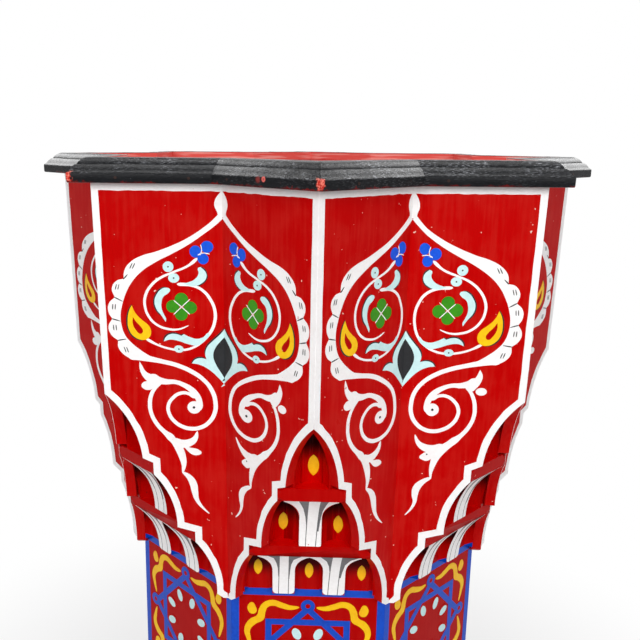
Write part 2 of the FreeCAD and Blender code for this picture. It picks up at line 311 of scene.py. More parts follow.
def fromGroup(tree, group, values):
    node = addNode(tree, "ShaderNodeGroup", node_tree=group)
    feedAll(tree, node, values)
    return node.outputs


def paintFinish(name, thin, full, chipColour, look):
    # enamel laid on by hand: thin coat to full coat along the streaks, with a few chips
    material = bpy.data.materials.new(name)
    material.use_nodes = True
    tree = material.node_tree
    place = placeOf(tree)
    brush = fromGroup(tree, brushed, {"Place": place, "Stretch": look["stretch"], "Mottle Size": look["mottle"]})
    chip = fromGroup(tree, chips, {"Place": place, "Size": look["chipSize"], "Threshold": look["chipCut"]})
    blend = mathOf(tree, "ADD", mathOf(tree, "MULTIPLY", brush["Streaks"], look["streakShare"]),
                   mathOf(tree, "MULTIPLY", brush["Mottle"], 1 - look["streakShare"]))
    coat = between(tree, blend, look["coatLow"], look["coatHigh"], curve="LINEAR")
    colour = coverWith(tree, srgb(*thin), srgb(*full), coat)
    bump = addNode(tree, "ShaderNodeBump")
    feedAll(tree, bump, {"Distance": look["relief"] * mm, "Strength": 0.6, "Height": brush["Relief"]})
    feedAll(tree, tree.nodes["Principled BSDF"], {
        "Base Color": coverWith(tree, colour, srgb(*chipColour), chip["Mask"]),
        "Roughness": between(tree, brush["Mottle"], 0.0, 1.0, look["roughLow"], look["roughHigh"], "LINEAR"),
        "Specular IOR Level": look["sheen"],
        "Normal": bump.outputs["Normal"]})
    return material


def partsOf(material):
    # the tree of a paint, its shader, and the colour laid on so far
    tree = material.node_tree
    shader = tree.nodes["Principled BSDF"]
    return tree, shader, shader.inputs["Base Color"].links[0].from_socket


panelLook = {"stretch": (420, 420, 26), "mottle": 60, "streakShare": 0.5, "coatLow": 0.4, "coatHigh": 0.56,
             "chipSize": 300, "chipCut": 0.745, "roughLow": 0.22, "roughHigh": 0.42, "relief": 0.12,
             "sheen": 0.04}
lineLook = {"stretch": (500, 500, 500), "mottle": 90, "streakShare": 0.5, "coatLow": 0.3, "coatHigh": 0.6,
            "chipSize": 260, "chipCut": 0.76, "roughLow": 0.3, "roughHigh": 0.5, "relief": 0.08,
            "sheen": 0.25}
rimLook = {"stretch": (60, 60, 900), "mottle": 35, "streakShare": 0.6, "coatLow": 0.3, "coatHigh": 0.7,
           "chipSize": 500, "chipCut": 0.72, "roughLow": 0.18, "roughHigh": 0.34, "relief": 0.25,
           "sheen": 0.07}
woodLook = {"stretch": (60, 60, 8), "mottle": 20, "streakShare": 0.8, "coatLow": 0.3, "coatHigh": 0.7,
            "chipSize": 90, "chipCut": 0.9, "roughLow": 0.6, "roughHigh": 0.8, "relief": 0.3,
            "sheen": 0.4}

paintPots = {         # name, thin coat, full coat, chips, and how it is laid on
    "red": ("redEnamel", (182, 10, 6), (178, 0, 0), (225, 150, 135), panelLook),
    "white": ("whitePaint", (246, 243, 242), (255, 253, 253), (215, 140, 135), lineLook),
    "sky": ("skyPaint", (196, 232, 234), (212, 246, 246), (190, 220, 222), lineLook),
    "blue": ("bluePaint", (0, 74, 205), (0, 88, 228), (90, 120, 200), lineLook),
    "green": ("greenPaint", (42, 128, 4), (54, 146, 2), (90, 150, 60), lineLook),
    "yellow": ("yellowPaint", (250, 182, 0), (255, 206, 0), (230, 150, 20), lineLook),
    "black": ("blackPaint", (24, 24, 26), (34, 35, 38), (60, 40, 40), lineLook),
    "grey": ("greyPaint", (92, 92, 94), (116, 116, 118), (130, 120, 118), lineLook),
    "wood": ("bareWood", (170, 128, 84), (205, 165, 115), (150, 105, 70), woodLook),
    "iron": ("ironHead", (40, 30, 28), (62, 46, 42), (90, 40, 30), rimLook),
    # the shaft's blue: darker than the panels' blue, partly its own paint and partly painted shade for the dimmer
    # light down on the shaft
    "shaftBlueShaded": ("shaftBlueShaded", (0, 62, 178), (0, 76, 200), (90, 120, 200), lineLook),
    # painted highlight: the pale pink of the line along the tray's top edge
    "edgeGlint": ("paleEdgeGlint", (222, 120, 110), (244, 226, 222), (60, 40, 40), lineLook),
    # painted light: a lighter red for the tops of the ledges, which look up into the light
    "litLedge": ("litLedgeRed", (226, 12, 8), (228, 0, 0), (225, 150, 135), panelLook),
}
paints = {key: paintFinish(*pot) for key, pot in paintPots.items()}


def shadedNicheFinish(name, thin, full, look, low, high, most):
    # the paint of a niche or its drop, with painted shade towards the niche's point, where the ledge above shades
    # it
    material = paintFinish(name, thin, full, (120, 20, 20), look)
    tree, shader, colour = partsOf(material)
    # painted shade: the colour goes dark towards the niche's point, in place of the shadow under the ledge
    dark = between(tree, axisOf(tree, placeOf(tree), "Z"), low * mm, high * mm, 0.0, most)
    feed(tree, shader.inputs["Base Color"], coverWith(tree, colour, srgb(36, 3, 5), dark))
    return material


sawnTop = {                    # metres, heights between which the panels' top changes
    "fade": (0.5222, 0.5235),  # the inner faces, round the tray, get a painted sheen: lighter salmon with pale painted streaks of reflected light
    "black": (0.5296, 0.5298), # the sawn edge on top is black
    "gloss": 0.5,
}


def panelFinish():
    material = paintFinish("panelEnamel", (194, 22, 16), (190, 0, 0), (240, 205, 190), panelLook)
    tree, shader, colour = partsOf(material)
    place = placeOf(tree)
    height = axisOf(tree, place, "Z")
    # painted sheen: the inner faces round the tray are lighter salmon, with pale streaks as painted reflections
    inside = between(tree, height, *sawnTop["fade"])
    colour = coverWith(tree, colour, srgb(232, 96, 88), inside)
    streaks = between(tree, grainOf(tree, place, (24, 24, 620), 3.0), 0.5, 0.64, 0.0, 0.75)
    colour = coverWith(tree, colour, srgb(250, 178, 168), mathOf(tree, "MULTIPLY", streaks, inside))
    top = between(tree, height, *sawnTop["black"])
    feedAll(tree, shader, {
        "Base Color": coverWith(tree, colour, srgb(34, 30, 32), top),
        "Specular IOR Level": between(tree, height, *sawnTop["black"], panelLook["sheen"], sawnTop["gloss"])})
    return material


rimWearAndGlints = {                    # metres
    "cornerReach": (0.0016, 0.0024),         # off the ridge, to each side
    "fasciaTop": (0.5210, 0.5222),
    "smearTop": (0.5158, 0.5166),
    "ridges": {1: 0.95, 8: 0.95, 5: 0.5},    # how bare the corner of each worn ridge is
    "ridgeReach": (0.185, 0.19),             # out from the axis
    "glintFrom": (-0.008, 0.004),           # the painted glints are stronger right of the first ridge, the side the light catches
    "ragged": 0.0045,
    "nailCrease": 8, "nailOut": 11.4,
    # a nail near the front has lost its paint: a pink smear, a ring, and the dark head, in millimetres
    "nail": ((44.0, 4.3, 0.7, 2.6, 0.4, (190, 70, 64)),
             (48.4, 4.6, 1.2, 1.8, 0.9, (236, 110, 102)),
             (48.4, 4.6, 0.4, 1.0, 0.75, (150, 70, 66))),
}


def rimFinish():
    # black gloss laid on thick: painted silvery glints on what faces up, worn to red at some ridges' corners
    material = paintFinish("rimBlack", (16, 17, 19), (26, 27, 30), (70, 72, 76), rimLook)
    tree, shader, colour = partsOf(material)
    place = placeOf(tree)
    height = axisOf(tree, place, "Z")
    facing = axisOf(tree, addNode(tree, "ShaderNodeNewGeometry").outputs["Normal"], "Z")

    def grain(stretch, detail):
        return grainOf(tree, place, stretch, detail)

    def both(first, second):
        return mathOf(tree, "MULTIPLY", first, second)

    # painted glints: silvery streaks, more on faces that look up and right of the first ridge, in place of
    # reflected light
    paintedGlints = both(between(tree, grain((420, 420, 2400), 5.0), 0.5, 0.7),
                 between(tree, grain((45, 45, 60), 2.0), 0.38, 0.62, 0.15, 1.0))
    lit = both(between(tree, facing, 0.1, 0.6, 0.18, 1.0),
               between(tree, axisOf(tree, place, "X"), *rimWearAndGlints["glintFrom"], 0.55, 1.0))
    colour = coverWith(tree, colour, srgb(158, 160, 166), both(paintedGlints, lit))

    ragged = mathOf(tree, "MULTIPLY_ADD", grain((420, 420, 420), 3.0), rimWearAndGlints["ragged"], -rimWearAndGlints["ragged"] / 2)
    raggedHeight = mathOf(tree, "ADD", height, ragged)
    offRidge = mathOf(tree, "ADD", offPlanes(tree, place, "MINIMUM"), ragged)
    corner = both(between(tree, offRidge, *rimWearAndGlints["cornerReach"], 1.0, 0.0),
                  between(tree, raggedHeight, *rimWearAndGlints["fasciaTop"], 1.0, 0.0))
    worst = 0.0
    for ridge, share in rimWearAndGlints["ridges"].items():
        angle = -math.pi / 2 + (ridge - 1) * bayTurn
        outward = vectorOf(tree, "DOT_PRODUCT", place, (math.cos(angle), math.sin(angle), 0))
        worst = mathOf(tree, "MAXIMUM", worst, between(tree, outward, *rimWearAndGlints["ridgeReach"], 0.0, share))
    pinks = coverWith(tree, srgb(204, 44, 34), srgb(246, 132, 114),
                      between(tree, grain((900, 900, 900), 2.0), 0.4, 0.6))
    colour = coverWith(tree, colour, pinks, both(corner, worst))

    smear = both(between(tree, raggedHeight, *rimWearAndGlints["smearTop"], 1.0, 0.0),
                 between(tree, grain((60, 60, 60), 2.0), 0.45, 0.6))
    colour = coverWith(tree, colour, srgb(110, 22, 20), smear)
    for along, up, near, far, share, tint in rimWearAndGlints["nail"]:
        spot = creaseTurn(rimWearAndGlints["nailCrease"]) @ offPanel(along, rimWearAndGlints["nailOut"], up) * mm
        away = vectorOf(tree, "DISTANCE", place, spot)
        colour = coverWith(tree, colour, srgb(*tint), between(tree, away, near * mm, far * mm, share, 0.0))
    feedAll(tree, shader, {"Base Color": colour,
                           "Specular IOR Level": between(tree, facing, 0.2, 0.6, 0.06, 0.42)})
    relief = mathOf(tree, "ADD", grain((330, 330, 1500), 4.0), both(grain((900, 900, 900), 2.0), 0.4))
    feed(tree, shader.inputs["Normal"].links[0].from_node.inputs["Height"], relief)
    return material


shaftBand = {"low": 0.2423, "high": 0.2426, "slope": 0.62}       # metres, and the rise for each metre outwards


def bandRound(material):
    # the blue band of the shaft runs on round the low ends of the niches' walls, level with it to the eye
    tree, shader, colour = partsOf(material)
    place = placeOf(tree)
    outward = mathOf(tree, "SUBTRACT", offPlanes(tree, place, "MAXIMUM"), stand["shaftFace"] * mm)
    rise = mathOf(tree, "MULTIPLY", outward, shaftBand["slope"])
    height = mathOf(tree, "SUBTRACT", axisOf(tree, place, "Z"), rise)
    band = between(tree, height, shaftBand["low"], shaftBand["high"], 1.0, 0.0)
    # the band takes the shaft's darker blue, partly painted shade
    feed(tree, shader.inputs["Base Color"], coverWith(tree, colour, srgb(0, 68, 188), band))


panelRed = panelFinish()
rimBlack = rimFinish()
# millimetres, heights between which each niche's painted shade deepens, and how far the painted shade darkens its
# drop
nicheShadeHeights = {"lower": (254, 266, 0.5), "middle": (296, 311, 0.5), "upper": (347, 361, 0.1)}
shadedNicheReds, shadedDropYellows = {}, {}
for key, (low, high, dropDark) in nicheShadeHeights.items():
    shadedNicheReds[key] = shadedNicheFinish(key + "ShadedNicheRed", (196, 8, 6), (198, 0, 0), panelLook, low, high, 0.97)
    shadedDropYellows[key] = shadedNicheFinish(key + "ShadedDropYellow", (244, 172, 0), (252, 194, 0), lineLook, low, high, dropDark)
bandRound(shadedNicheReds["lower"])
# the lowest niches are open at the back, so the shaft's boards get the same painted shade there
shadedShaftRed = shadedNicheFinish("shadedShaftRed", (182, 10, 6), (178, 0, 0), panelLook, 250, 263, 0.92)
print("materials ready")

nodeFinishes = {"rim_moulding": rimBlack, "rim_brads": paints["iron"], "ridge_blocks": paints["wood"],
                "body_panel": panelRed, "shaft_board": shadedShaftRed}
for name, node in nodes.items():
    found = [finish for start, finish in nodeFinishes.items() if name.startswith(start)]
    dress(node, found[0] if found else paints["red"])
print("frame dressed")


# Flat drawing, in millimetres: x to the right of the valley, y upwards, so a drop is -y

def strokeOutline(stroke):
    # a brush stroke: its middle line with a width at each point becomes a closed outline
    count = len(stroke)
    left, right = [], []
    for i, (x, drop, width) in enumerate(stroke):
        before = stroke[max(i - 1, 0)]
        after = stroke[min(i + 1, count - 1)]
        way = Vector((after[0] - before[0], after[1] - before[1])).normalized()
        side = Vector((-way.y, way.x)) * (width / 2)
        left.append((x + side.x, drop + side.y))
        right.append((x - side.x, drop - side.y))
        if i == 0:
            first = (x - way.x * width / 2, drop - way.y * width / 2)
        if i == count - 1:
            last = (x + way.x * width / 2, drop + way.y * width / 2)
    return [first] + left + [last] + right[::-1]


def ovalOutline(x, drop, halfWide, halfHigh, turn=0.0, count=8):
    points = []
    for i in range(count):
        angle = 2 * math.pi * i / count
        across = halfWide * math.cos(angle)
        along = halfHigh * math.sin(angle)
        points.append((x + across * math.cos(turn) - along * math.sin(turn),
                       drop + across * math.sin(turn) + along * math.cos(turn)))
    return points


def mirrorPoints(points, side):
    return [(point[0] * side,) + tuple(point[1:]) for point in points]


def bothSides(right):
    # the outline of a shape that straddles the middle, from its right half
    shared = right[1:-1] if right[-1][0] == 0 else right[1:]
    return right + mirrorPoints(shared, -1)[::-1]


def drawFlat(outline, colour, level, sharp=(), straight=False):
    # one patch of paint: a filled curve with a thickness, made a mesh later
    curve = bpy.data.curves.new("patch", "CURVE")
    curve.dimensions = "2D"
    curve.fill_mode = "BOTH"
    curve.resolution_u = 5
    curve.extrude = stand["paint"] + stand["layer"] * level
    if straight:
        spline = curve.splines.new("POLY")
        spline.points.add(len(outline) - 1)
        for point, (x, drop) in zip(spline.points, outline):
            point.co = (x, -drop, 0, 1)
    else:
        spline = curve.splines.new("BEZIER")
        spline.bezier_points.add(len(outline) - 1)
        for i, (point, (x, drop)) in enumerate(zip(spline.bezier_points, outline)):
            kind = "VECTOR" if i in sharp else "AUTO"
            point.handle_left_type = kind
            point.handle_right_type = kind
            point.co = (x, -drop, 0)
    spline.use_cyclic_u = True
    patch = bpy.data.objects.new("patch", curve)
    bpy.context.scene.collection.objects.link(patch)
    curve.materials.append(paints[colour])
    return patch


def meshDrawing(name, patches):
    pick(*patches)
    bpy.ops.object.convert(target="MESH")
    return joinUp(name, list(bpy.context.selected_objects))


def layBy(drawing, laid):
    # a flat drawing goes to its place on the stand point by point, and from millimetres to metres
    for vertex in drawing.data.vertices:
        vertex.co = laid(*vertex.co) * mm
    drawing.data.update()


# The ornament of a pair of panels, symmetrical in its upper part and freer below

upperHalf = {
    "cartoucheOut": [(2.6, 19.0), (6, 22.6), (10, 26.2), (20, 33), (30, 38), (40, 42), (50, 45.2), (56.5, 49),
                     (60.3, 54), (61, 59.3), (65.5, 60.6), (68.6, 65.6), (67, 71.2), (70.8, 75), (71.5, 80.4),
                     (69.2, 85), (71.8, 90), (70.4, 95.4), (66.4, 98.8), (66.5, 103.6), (62.6, 108.5), (57, 111)],
    "lobeNotches": (9, 12, 15, 18),
    "cartoucheIn": [(42.5, 110.6), (47.5, 107.9), (52.2, 104.8), (58, 100), (61.6, 95.5), (63.6, 89), (64, 82.5),
                    (62.6, 75.5), (60, 68.5), (56, 61.5), (50, 55), (40, 48.2), (30, 43), (20, 37.3),
                    (10, 30.2), (4, 25.2), (0, 21.3)],
    "finial": [(0, 4.6), (1.8, 6.8), (3.9, 10.5), (4.3, 14), (3.0, 17.6), (2.2, 20)],
    "curl": [(15.3, 46.2, 1.8), (21, 50.8, 1.8), (30, 54.7, 1.7), (38, 58.3, 1.9), (44, 63.3, 2.1),
             (47.8, 70, 2.2), (48.3, 76.5, 2.1), (46, 83.2, 2.0), (41, 88.4, 1.9), (34, 90.9, 1.8),
             (27.5, 90.8, 1.4), (21.5, 88.4, 0.5)],
    "ring": [(27, 62.0, 1.8), (18.5, 62.8, 2.0), (11.8, 66, 2.2), (7.5, 71.8, 2.3), (5.3, 78.8, 2.3),
             (5.8, 86.5, 2.3), (8.5, 93.2, 2.2), (13.3, 98.7, 1.9), (19.7, 102.5, 1.8), (27, 104, 1.8),
             (34.5, 103.4, 1.7), (41.5, 101.2, 1.6), (48, 97.6, 1.6)],
    "hook": [(13, 51.2), (14.6, 52), (14.3, 55.2), (16.4, 58.6), (21, 60.9), (24, 61.6), (18, 63.2),
             (12.6, 61.4), (9.7, 58), (9.9, 54.4)],
    "crescent": [(32.2, 65.4), (34.4, 64.2), (37.4, 65), (40.8, 68.8), (42.2, 73), (41, 78.3), (38.2, 82),
                 (35.6, 86.2), (35.2, 84.4), (36.4, 81.6), (37.8, 77.6), (37.8, 73.6), (36.4, 69.8),
                 (33.4, 67.6)],
    "longLeaf": [(9, 93), (12, 95.4), (16, 96.6), (20.5, 95.6), (24.5, 93.8), (26, 94.8), (29.4, 93.8),
                 (33.4, 94.2), (36.3, 96.5), (37.3, 98.9), (33.4, 97.6), (28, 98.2), (22, 100), (16.5, 100.8),
                 (12, 98.4)],
    "yellowLeaf": [(56.8, 76), (58.6, 79.6), (59.7, 85.4), (59.1, 91.4), (56, 96), (50.6, 98.1), (46.9, 96.9),
                   (45.1, 93.2), (46.4, 88.9), (50.6, 85.2), (54.4, 81.2)],
    "leafHole": [(56.3, 83.4), (56.5, 87.6), (54.6, 91.8), (51.8, 94.1), (50.2, 92.6), (51.6, 89.4), (54.2, 86.6)],
    "palmette": [(0, 90), (2.6, 93.6), (6.4, 97.6), (10, 101.8), (11.4, 106.4), (10.7, 109.8), (14.4, 109.0),
                 (18.4, 110.2), (20.4, 112.6), (15.6, 113.4), (9.6, 116.6), (4.4, 122), (0, 127.8)],
    "blackDrop": [(0, 95.2), (2.4, 98), (5.3, 102.2), (6.7, 107), (5.4, 113), (2.5, 119), (0, 124.2)],
    "trefoil": [(9.0, 38.6, 3.5), (15.9, 41.6, 3.6), (11.4, 46.0, 3.3)],
    "trefoilLines": [[(7.6, 42.9, 0.35), (11.4, 42.4, 0.45), (14.2, 43.6, 0.5)],
                     [(12.6, 37.4, 0.35), (12.0, 40.4, 0.45), (12.8, 43.4, 0.45)]],
    "berries": [(32.9, 51.2, 3.3, 3.3), (29.6, 58.2, 3.4, 2.9), (28.2, 103.4, 3.0, 2.3)],
    "clover": (25.4, 76.4),
    "inked": [[(13, 51.0), (10.6, 52.6), (9.5, 55.4), (9.5, 58.2), (12.4, 61.7), (17.6, 63.5)],
              [(34.6, 63.9), (37.8, 64.8), (41.2, 68.6), (42.6, 73), (41.5, 78.3), (38.8, 82)],
              [(24.6, 93.5), (26.2, 94.4), (29.4, 93.4), (33.6, 93.8), (36.8, 96.2), (37.6, 98.6)],
              [(56.8, 75.6), (59.0, 79.6), (60.2, 85.4), (59.5, 91.6), (56.2, 96.5), (51, 98.5)],
              [(0.4, 89.5), (3, 93.2), (6.9, 97.3), (10.5, 101.6), (11.8, 106)],
              [(11.3, 109.4), (14.4, 108.6), (18.6, 109.8), (20.8, 112.4)]],
    "cloverBlobs": [(0, -4.9, 4.1), (-5.3, 0.4, 4.0), (5.4, -0.3, 4.1), (0.3, 4.9, 3.9)],
    "cloverLines": [[(-5.2, -5.0, 0.35), (0, 0, 0.5), (4.8, 4.8, 0.4)],
                    [(4.6, -4.2, 0.35), (0, 0, 0.5), (-4.8, 4.6, 0.35)]],
}
bigScroll = {
    "spiral": [(58.5, 107.2, 8), (54, 108.6, 6.2), (47.5, 110.2, 4.4), (39.7, 111.8, 3.4), (29.7, 114.2, 3.3),
               (20.8, 118.2, 3.3), (13.6, 123.5, 3.1), (8.9, 130, 3), (6.9, 137.8, 3), (7.4, 145.3, 3),
               (10.9, 151.6, 3), (16.2, 155.4, 3), (21.9, 156.6, 3), (27.7, 155.4, 2.9), (33, 151.8, 2.8),
               (36.2, 146.6, 2.7), (36.5, 141, 2.6), (33.2, 135.7, 2.5), (28.3, 132.6, 2.5),
               (23.7, 132.7, 2.4), (20, 135, 2.2)],
    "stem": [(45.6, 122.8, 5.6), (41.5, 124.5, 4.6), (37, 125.3, 3.6), (31.5, 125.3, 2.8), (26.5, 127, 3),
             (21.8, 130, 3.7), (18.5, 133.9, 3.9), (16.8, 138.3, 3.6), (16.7, 142.3, 3)],
    "eye": (20.2, 142.0, 4.2),
}
rightScroll = {
    "arc": [(40.4, 125.8, 1.6), (43.4, 129.6, 2.4), (45.6, 134.2, 2.7), (46.9, 140.3, 2.8), (46.7, 146.6, 2.8),
            (44.2, 153, 2.9), (39.6, 159, 3.2), (34, 164, 4)],
    "leaf": [(48.3, 114.6), (50.2, 118.4), (49.8, 122.2), (47, 127), (43.8, 129.4), (41.2, 127.6), (42, 123.4),
             (45.6, 120.4)],
    "berry": (50.2, 129.4, 3.5, 2.5),
    "foot": [(37, 161.4, 3.6), (32.4, 165.3, 4.6), (28.2, 169, 5.6), (24.9, 174, 4.9), (23, 179.6, 3.7),
             (22.1, 185.4, 1.9), (22.3, 189.2, 0.6)],
    "innerLeaf": [(10.8, 159.4, 0.6), (12.8, 164.2, 2.8), (16.8, 167.4, 4.6), (22.4, 168.6, 5.4),
                  (28, 167.2, 4.4)],
    "innerBerry": [(24.6, 172.4, 2.2), (21.4, 173.2, 4.6), (18.4, 173.8, 6.0), (16.4, 174, 4.4)],
    "berryDot": (18.8, 172.2),
    "tendril": [(22.2, 188.6, 1.2), (17.4, 191.4, 3.4), (13.8, 195.8, 4.8), (13, 201, 3.9), (13.2, 205.8, 2.3),
                (11.2, 210.8, 1.4), (7.6, 215.2, 0.4)],
}
leftScroll = {
    "arc": [(40.4, 125.6, 1.6), (44.4, 129.6, 2.4), (47.2, 134.4, 2.8), (48.4, 140.3, 2.9), (47.9, 146.6, 2.9),
            (45.1, 153, 3.0), (40.0, 159, 3.3), (34, 164, 4)],
    "leaf": [(53.4, 112), (53.6, 116), (52.4, 120.4), (48.6, 125.6), (44.4, 128.8), (41.6, 127), (43, 122.6),
             (49.6, 118.6), (51.8, 114.8)],
    "berry": (49.0, 128.0, 4.1, 2.9),
    "foot": [(37.4, 161.4, 3.6), (33.2, 165.8, 4.4), (30.3, 170.6, 5.2), (28.4, 176.3, 4.6), (27.8, 182, 3.0),
             (28.8, 187.4, 0.7)],
    "innerLeaf": [(18.4, 158.6, 0.8), (19.7, 163.2, 3.4), (23.4, 166.3, 4.8), (28.4, 167.2, 5.4),
                  (33, 165.6, 4.4)],
    "innerBerry": [(26.4, 168.6, 1.2), (24.2, 170.6, 2.6), (20.9, 172.2, 4.6), (17.6, 172.8, 3.4)],
    "berryDot": None,
    "tendril": [(28.8, 187, 0.9), (24.7, 190.3, 3.6), (21.8, 195.5, 4.9), (20.8, 200.8, 4.3), (19.5, 206.5, 2.8),
                (16.5, 211.5, 1.7), (11.8, 216.3, 0.4)],
}
lobeTicks = [(55.2, 51.2, 0.9), (65.2, 64.4, 0.5), (67.8, 77.2, 0.2), (67.8, 90.6, -0.1), (61.6, 104.6, -0.6)]
lobeLines = [[(61, 59.3), (58.4, 56.6)], [(67, 71.2), (62.4, 73.6)], [(69.2, 85), (64.2, 86.4)],
             [(66.4, 98.8), (61.2, 97.8)]]


def thinned(stroke, share):
    return [(x, drop, width * share) for x, drop, width in stroke]


def drawHalf(side):
    # one side of the ornament: 1 is right of the valley, -1 is left
    patches = []
    half = upperHalf
    scroll = rightScroll if side > 0 else leftScroll

    def patch(points, colour, level, sharp=()):
        patches.append(drawFlat(mirrorPoints(points, side), colour, level, sharp))

    def brush(stroke, colour, level):
        patches.append(drawFlat(strokeOutline(mirrorPoints(stroke, side)), colour, level))

    def spot(x, drop, wide, high, colour, level):
        patches.append(drawFlat(ovalOutline(x * side, drop, wide, high), colour, level))

    outer = half["cartoucheOut"]
    inner = half["cartoucheIn"]
    corners = set(half["lobeNotches"]) | {0, len(outer) - 1, len(outer), len(outer) + len(inner) - 1}
    patch(outer + inner, "white", 3, corners)
    brush(thinned(half["curl"], 0.78), "white", 1)
    brush(thinned(half["ring"], 0.78), "white", 2)
    for line in half["inked"]:
        brush([point + (0.3 if i in (0, len(line) - 1) else 0.85,) for i, point in enumerate(line)], "black", 1)
    patch(half["hook"], "sky", 4, {0, 5})
    patch(half["crescent"], "sky", 2, {7})
    patch(half["longLeaf"], "sky", 5, {4, 5, 9})
    patch(half["yellowLeaf"], "yellow", 4, {0})
    patch(half["leafHole"], "red", 6, {0})
    for x, drop, radius in half["trefoil"]:
        spot(x, drop, radius, radius * 1.04, "blue", 4 + len(patches) % 3)
    for line in half["trefoilLines"]:
        brush(line, "white", 9)
    for x, drop, wide, high in half["berries"]:
        spot(x, drop, wide, high, "sky", 6)
        spot(x, drop, 0.5, 0.5, "black", 9)
    middleX, middleDrop = half["clover"]
    for x, drop, radius in half["cloverBlobs"]:
        spot(middleX + x, middleDrop + drop, radius, radius, "green", 4 + len(patches) % 4)
    for line in half["cloverLines"]:
        brush([(middleX + x, middleDrop + drop, width) for x, drop, width in line], "white", 9)
    for x, drop, lean in lobeTicks:
        for step in (-0.8, 0.8):
            brush([(x + step - lean * 0.9, drop - 1.6, 0.3), (x + step + lean * 0.9, drop + 1.6, 0.35)],
                  "black", 8)
    for start, end in lobeLines:
        brush([start + (0.5,), end + (0.25,)], "black", 8)

    brush(thinned(bigScroll["spiral"], 0.86), "white", 1)
    brush(bigScroll["stem"], "white", 4)
    brush(thinned(scroll["arc"], 0.9), "white", 2)
    x, drop, radius = bigScroll["eye"]
    spot(x, drop, radius, radius, "white", 5)
    spot(x + 0.2, drop, 0.8, 0.8, "black", 8)
    patch(scroll["leaf"], "white", 6, {0})
    spot(*scroll["berry"], "white", 5)
    for key, level in (("foot", 5), ("innerLeaf", 4), ("innerBerry", 6)):
        brush(scroll[key], "white", level)
    if scroll["berryDot"]:
        spot(*scroll["berryDot"], 0.5, 0.5, "black", 9)
    brush(scroll["tendril"], "white", 3)
    return patches


def drawMiddle():
    # what straddles the valley: finial, palmette and its drop
    patches = []
    for key, colour, level, points in (("finial", "white", 4, ()), ("palmette", "sky", 3, (5, 8)),
                                       ("blackDrop", "black", 6, ())):
        right = upperHalf[key]
        outline = bothSides(right)
        sharp = {0, *points, *(len(outline) - point for point in points)}
        if right[-1][0] == 0:
            sharp.add(len(right) - 1)
        patches.append(drawFlat(outline, colour, level, sharp))
    return patches


motif = meshDrawing("motif", drawHalf(1) + drawHalf(-1) + drawMiddle())
print("ornament drawn,", len(motif.data.polygons), "faces")


# White bands along the rim, the ridge and the sawn edge of a panel

bands = {
    "rim": 5.0,
    "sawn": 4.6,
    "ridge": {1: 4.4, 2: 4.2, 8: 4.2},       # by the ridge's number
    "ridgeElse": 4.4,
    "wobble": 0.35,
    "apexDrop": 134.2, "upperDrop": 181.0, "upperUnder": 189.3,
    "middleDrop": 230.0, "middleUnder": 237.5, "footDrop": 276.0, "stepSlope": 3.0,
    "upperArch": 0.305 * stand["shaftHalf"], "upperLedge": 0.397 * stand["shaftHalf"],
    "middleArch": 0.59 * stand["shaftHalf"], "middleLedge": 0.749 * stand["shaftHalf"],
    "lowerArch": 0.934 * stand["shaftHalf"], "tip": 0.934 * stand["shaftHalf"] + 3.0,
    "bow": 0.1,
}


def onBoard(sideways, drop):
    # from a distance off the bay's middle plane to one along the panel, out of the valley
    return (panelLength * planShare(drop) - sideways / abs(ridgeSide.dot(panelWay)), drop)


def arcPoints(start, end, bowShare, count=12):
    # an arc that stands off its chord towards the ridge
    a, b = Vector(start), Vector(end)
    chord = b - a
    side = Vector((chord.y, -chord.x)).normalized()
    if side.x > 0:
        side = -side
    sag = chord.length * bowShare
    radius = (chord.length ** 2 / 4 + sag ** 2) / (2 * sag)
    middle = (a + b) / 2 + side * (sag - radius)
    first = math.atan2(a.y - middle.y, a.x - middle.x)
    last = math.atan2(b.y - middle.y, b.x - middle.x)
    turn = (last - first + math.pi) % (2 * math.pi) - math.pi
    return [(middle.x + radius * math.cos(first + turn * i / count),
             middle.y + radius * math.sin(first + turn * i / count)) for i in range(count + 1)]


def sawnEdge():
    b = bands
    upperFoot = onBoard(b["upperArch"], b["upperDrop"] - b["stepSlope"])
    middleFoot = onBoard(b["middleArch"], b["middleDrop"] - b["stepSlope"])
    edge = arcPoints(onBoard(0, b["apexDrop"]), upperFoot, b["bow"])
    edge.append(onBoard(b["upperLedge"], b["upperDrop"]))
    edge += arcPoints(onBoard(b["upperLedge"], b["upperUnder"]), middleFoot, b["bow"])
    edge.append(onBoard(b["middleLedge"], b["middleDrop"]))
    edge += arcPoints(onBoard(b["middleLedge"], b["middleUnder"]), onBoard(b["lowerArch"], b["footDrop"]),
                      b["bow"])
    edge.append(onBoard(b["tip"], stand["bodyHeight"]))
    return edge


def waysAlong(edge):
    # for each point of an edge: the point, the way in to it and the way on from it
    for i, point in enumerate(edge):
        here = Vector(point)
        before = Vector(edge[max(i - 1, 0)])
        after = Vector(edge[min(i + 1, len(edge) - 1)])
        first = (here - before).normalized() if i else (after - here).normalized()
        last = (after - here).normalized() if i < len(edge) - 1 else first
        yield here, first, last


def offsetEdge(edge, width, seed):
    # the same edge moved into the board, with the hand's small wobble
    moved = []
    for (x, drop), (here, first, last) in zip(edge, waysAlong(edge)):
        sideFirst = Vector((-first.y, first.x))
        sideLast = Vector((-last.y, last.x))
        if sideFirst.x > 0 and sideFirst.y > 0:
            sideFirst = -sideFirst
        side = (sideFirst + sideLast) / max(0.35, 1 + sideFirst.dot(sideLast))
        wobble = noise.noise(Vector((x / 6, drop / 6, seed))) * bands["wobble"] * 2
        moved.append((x + side.x * (width + wobble), drop + side.y * (width + wobble)))
    return moved


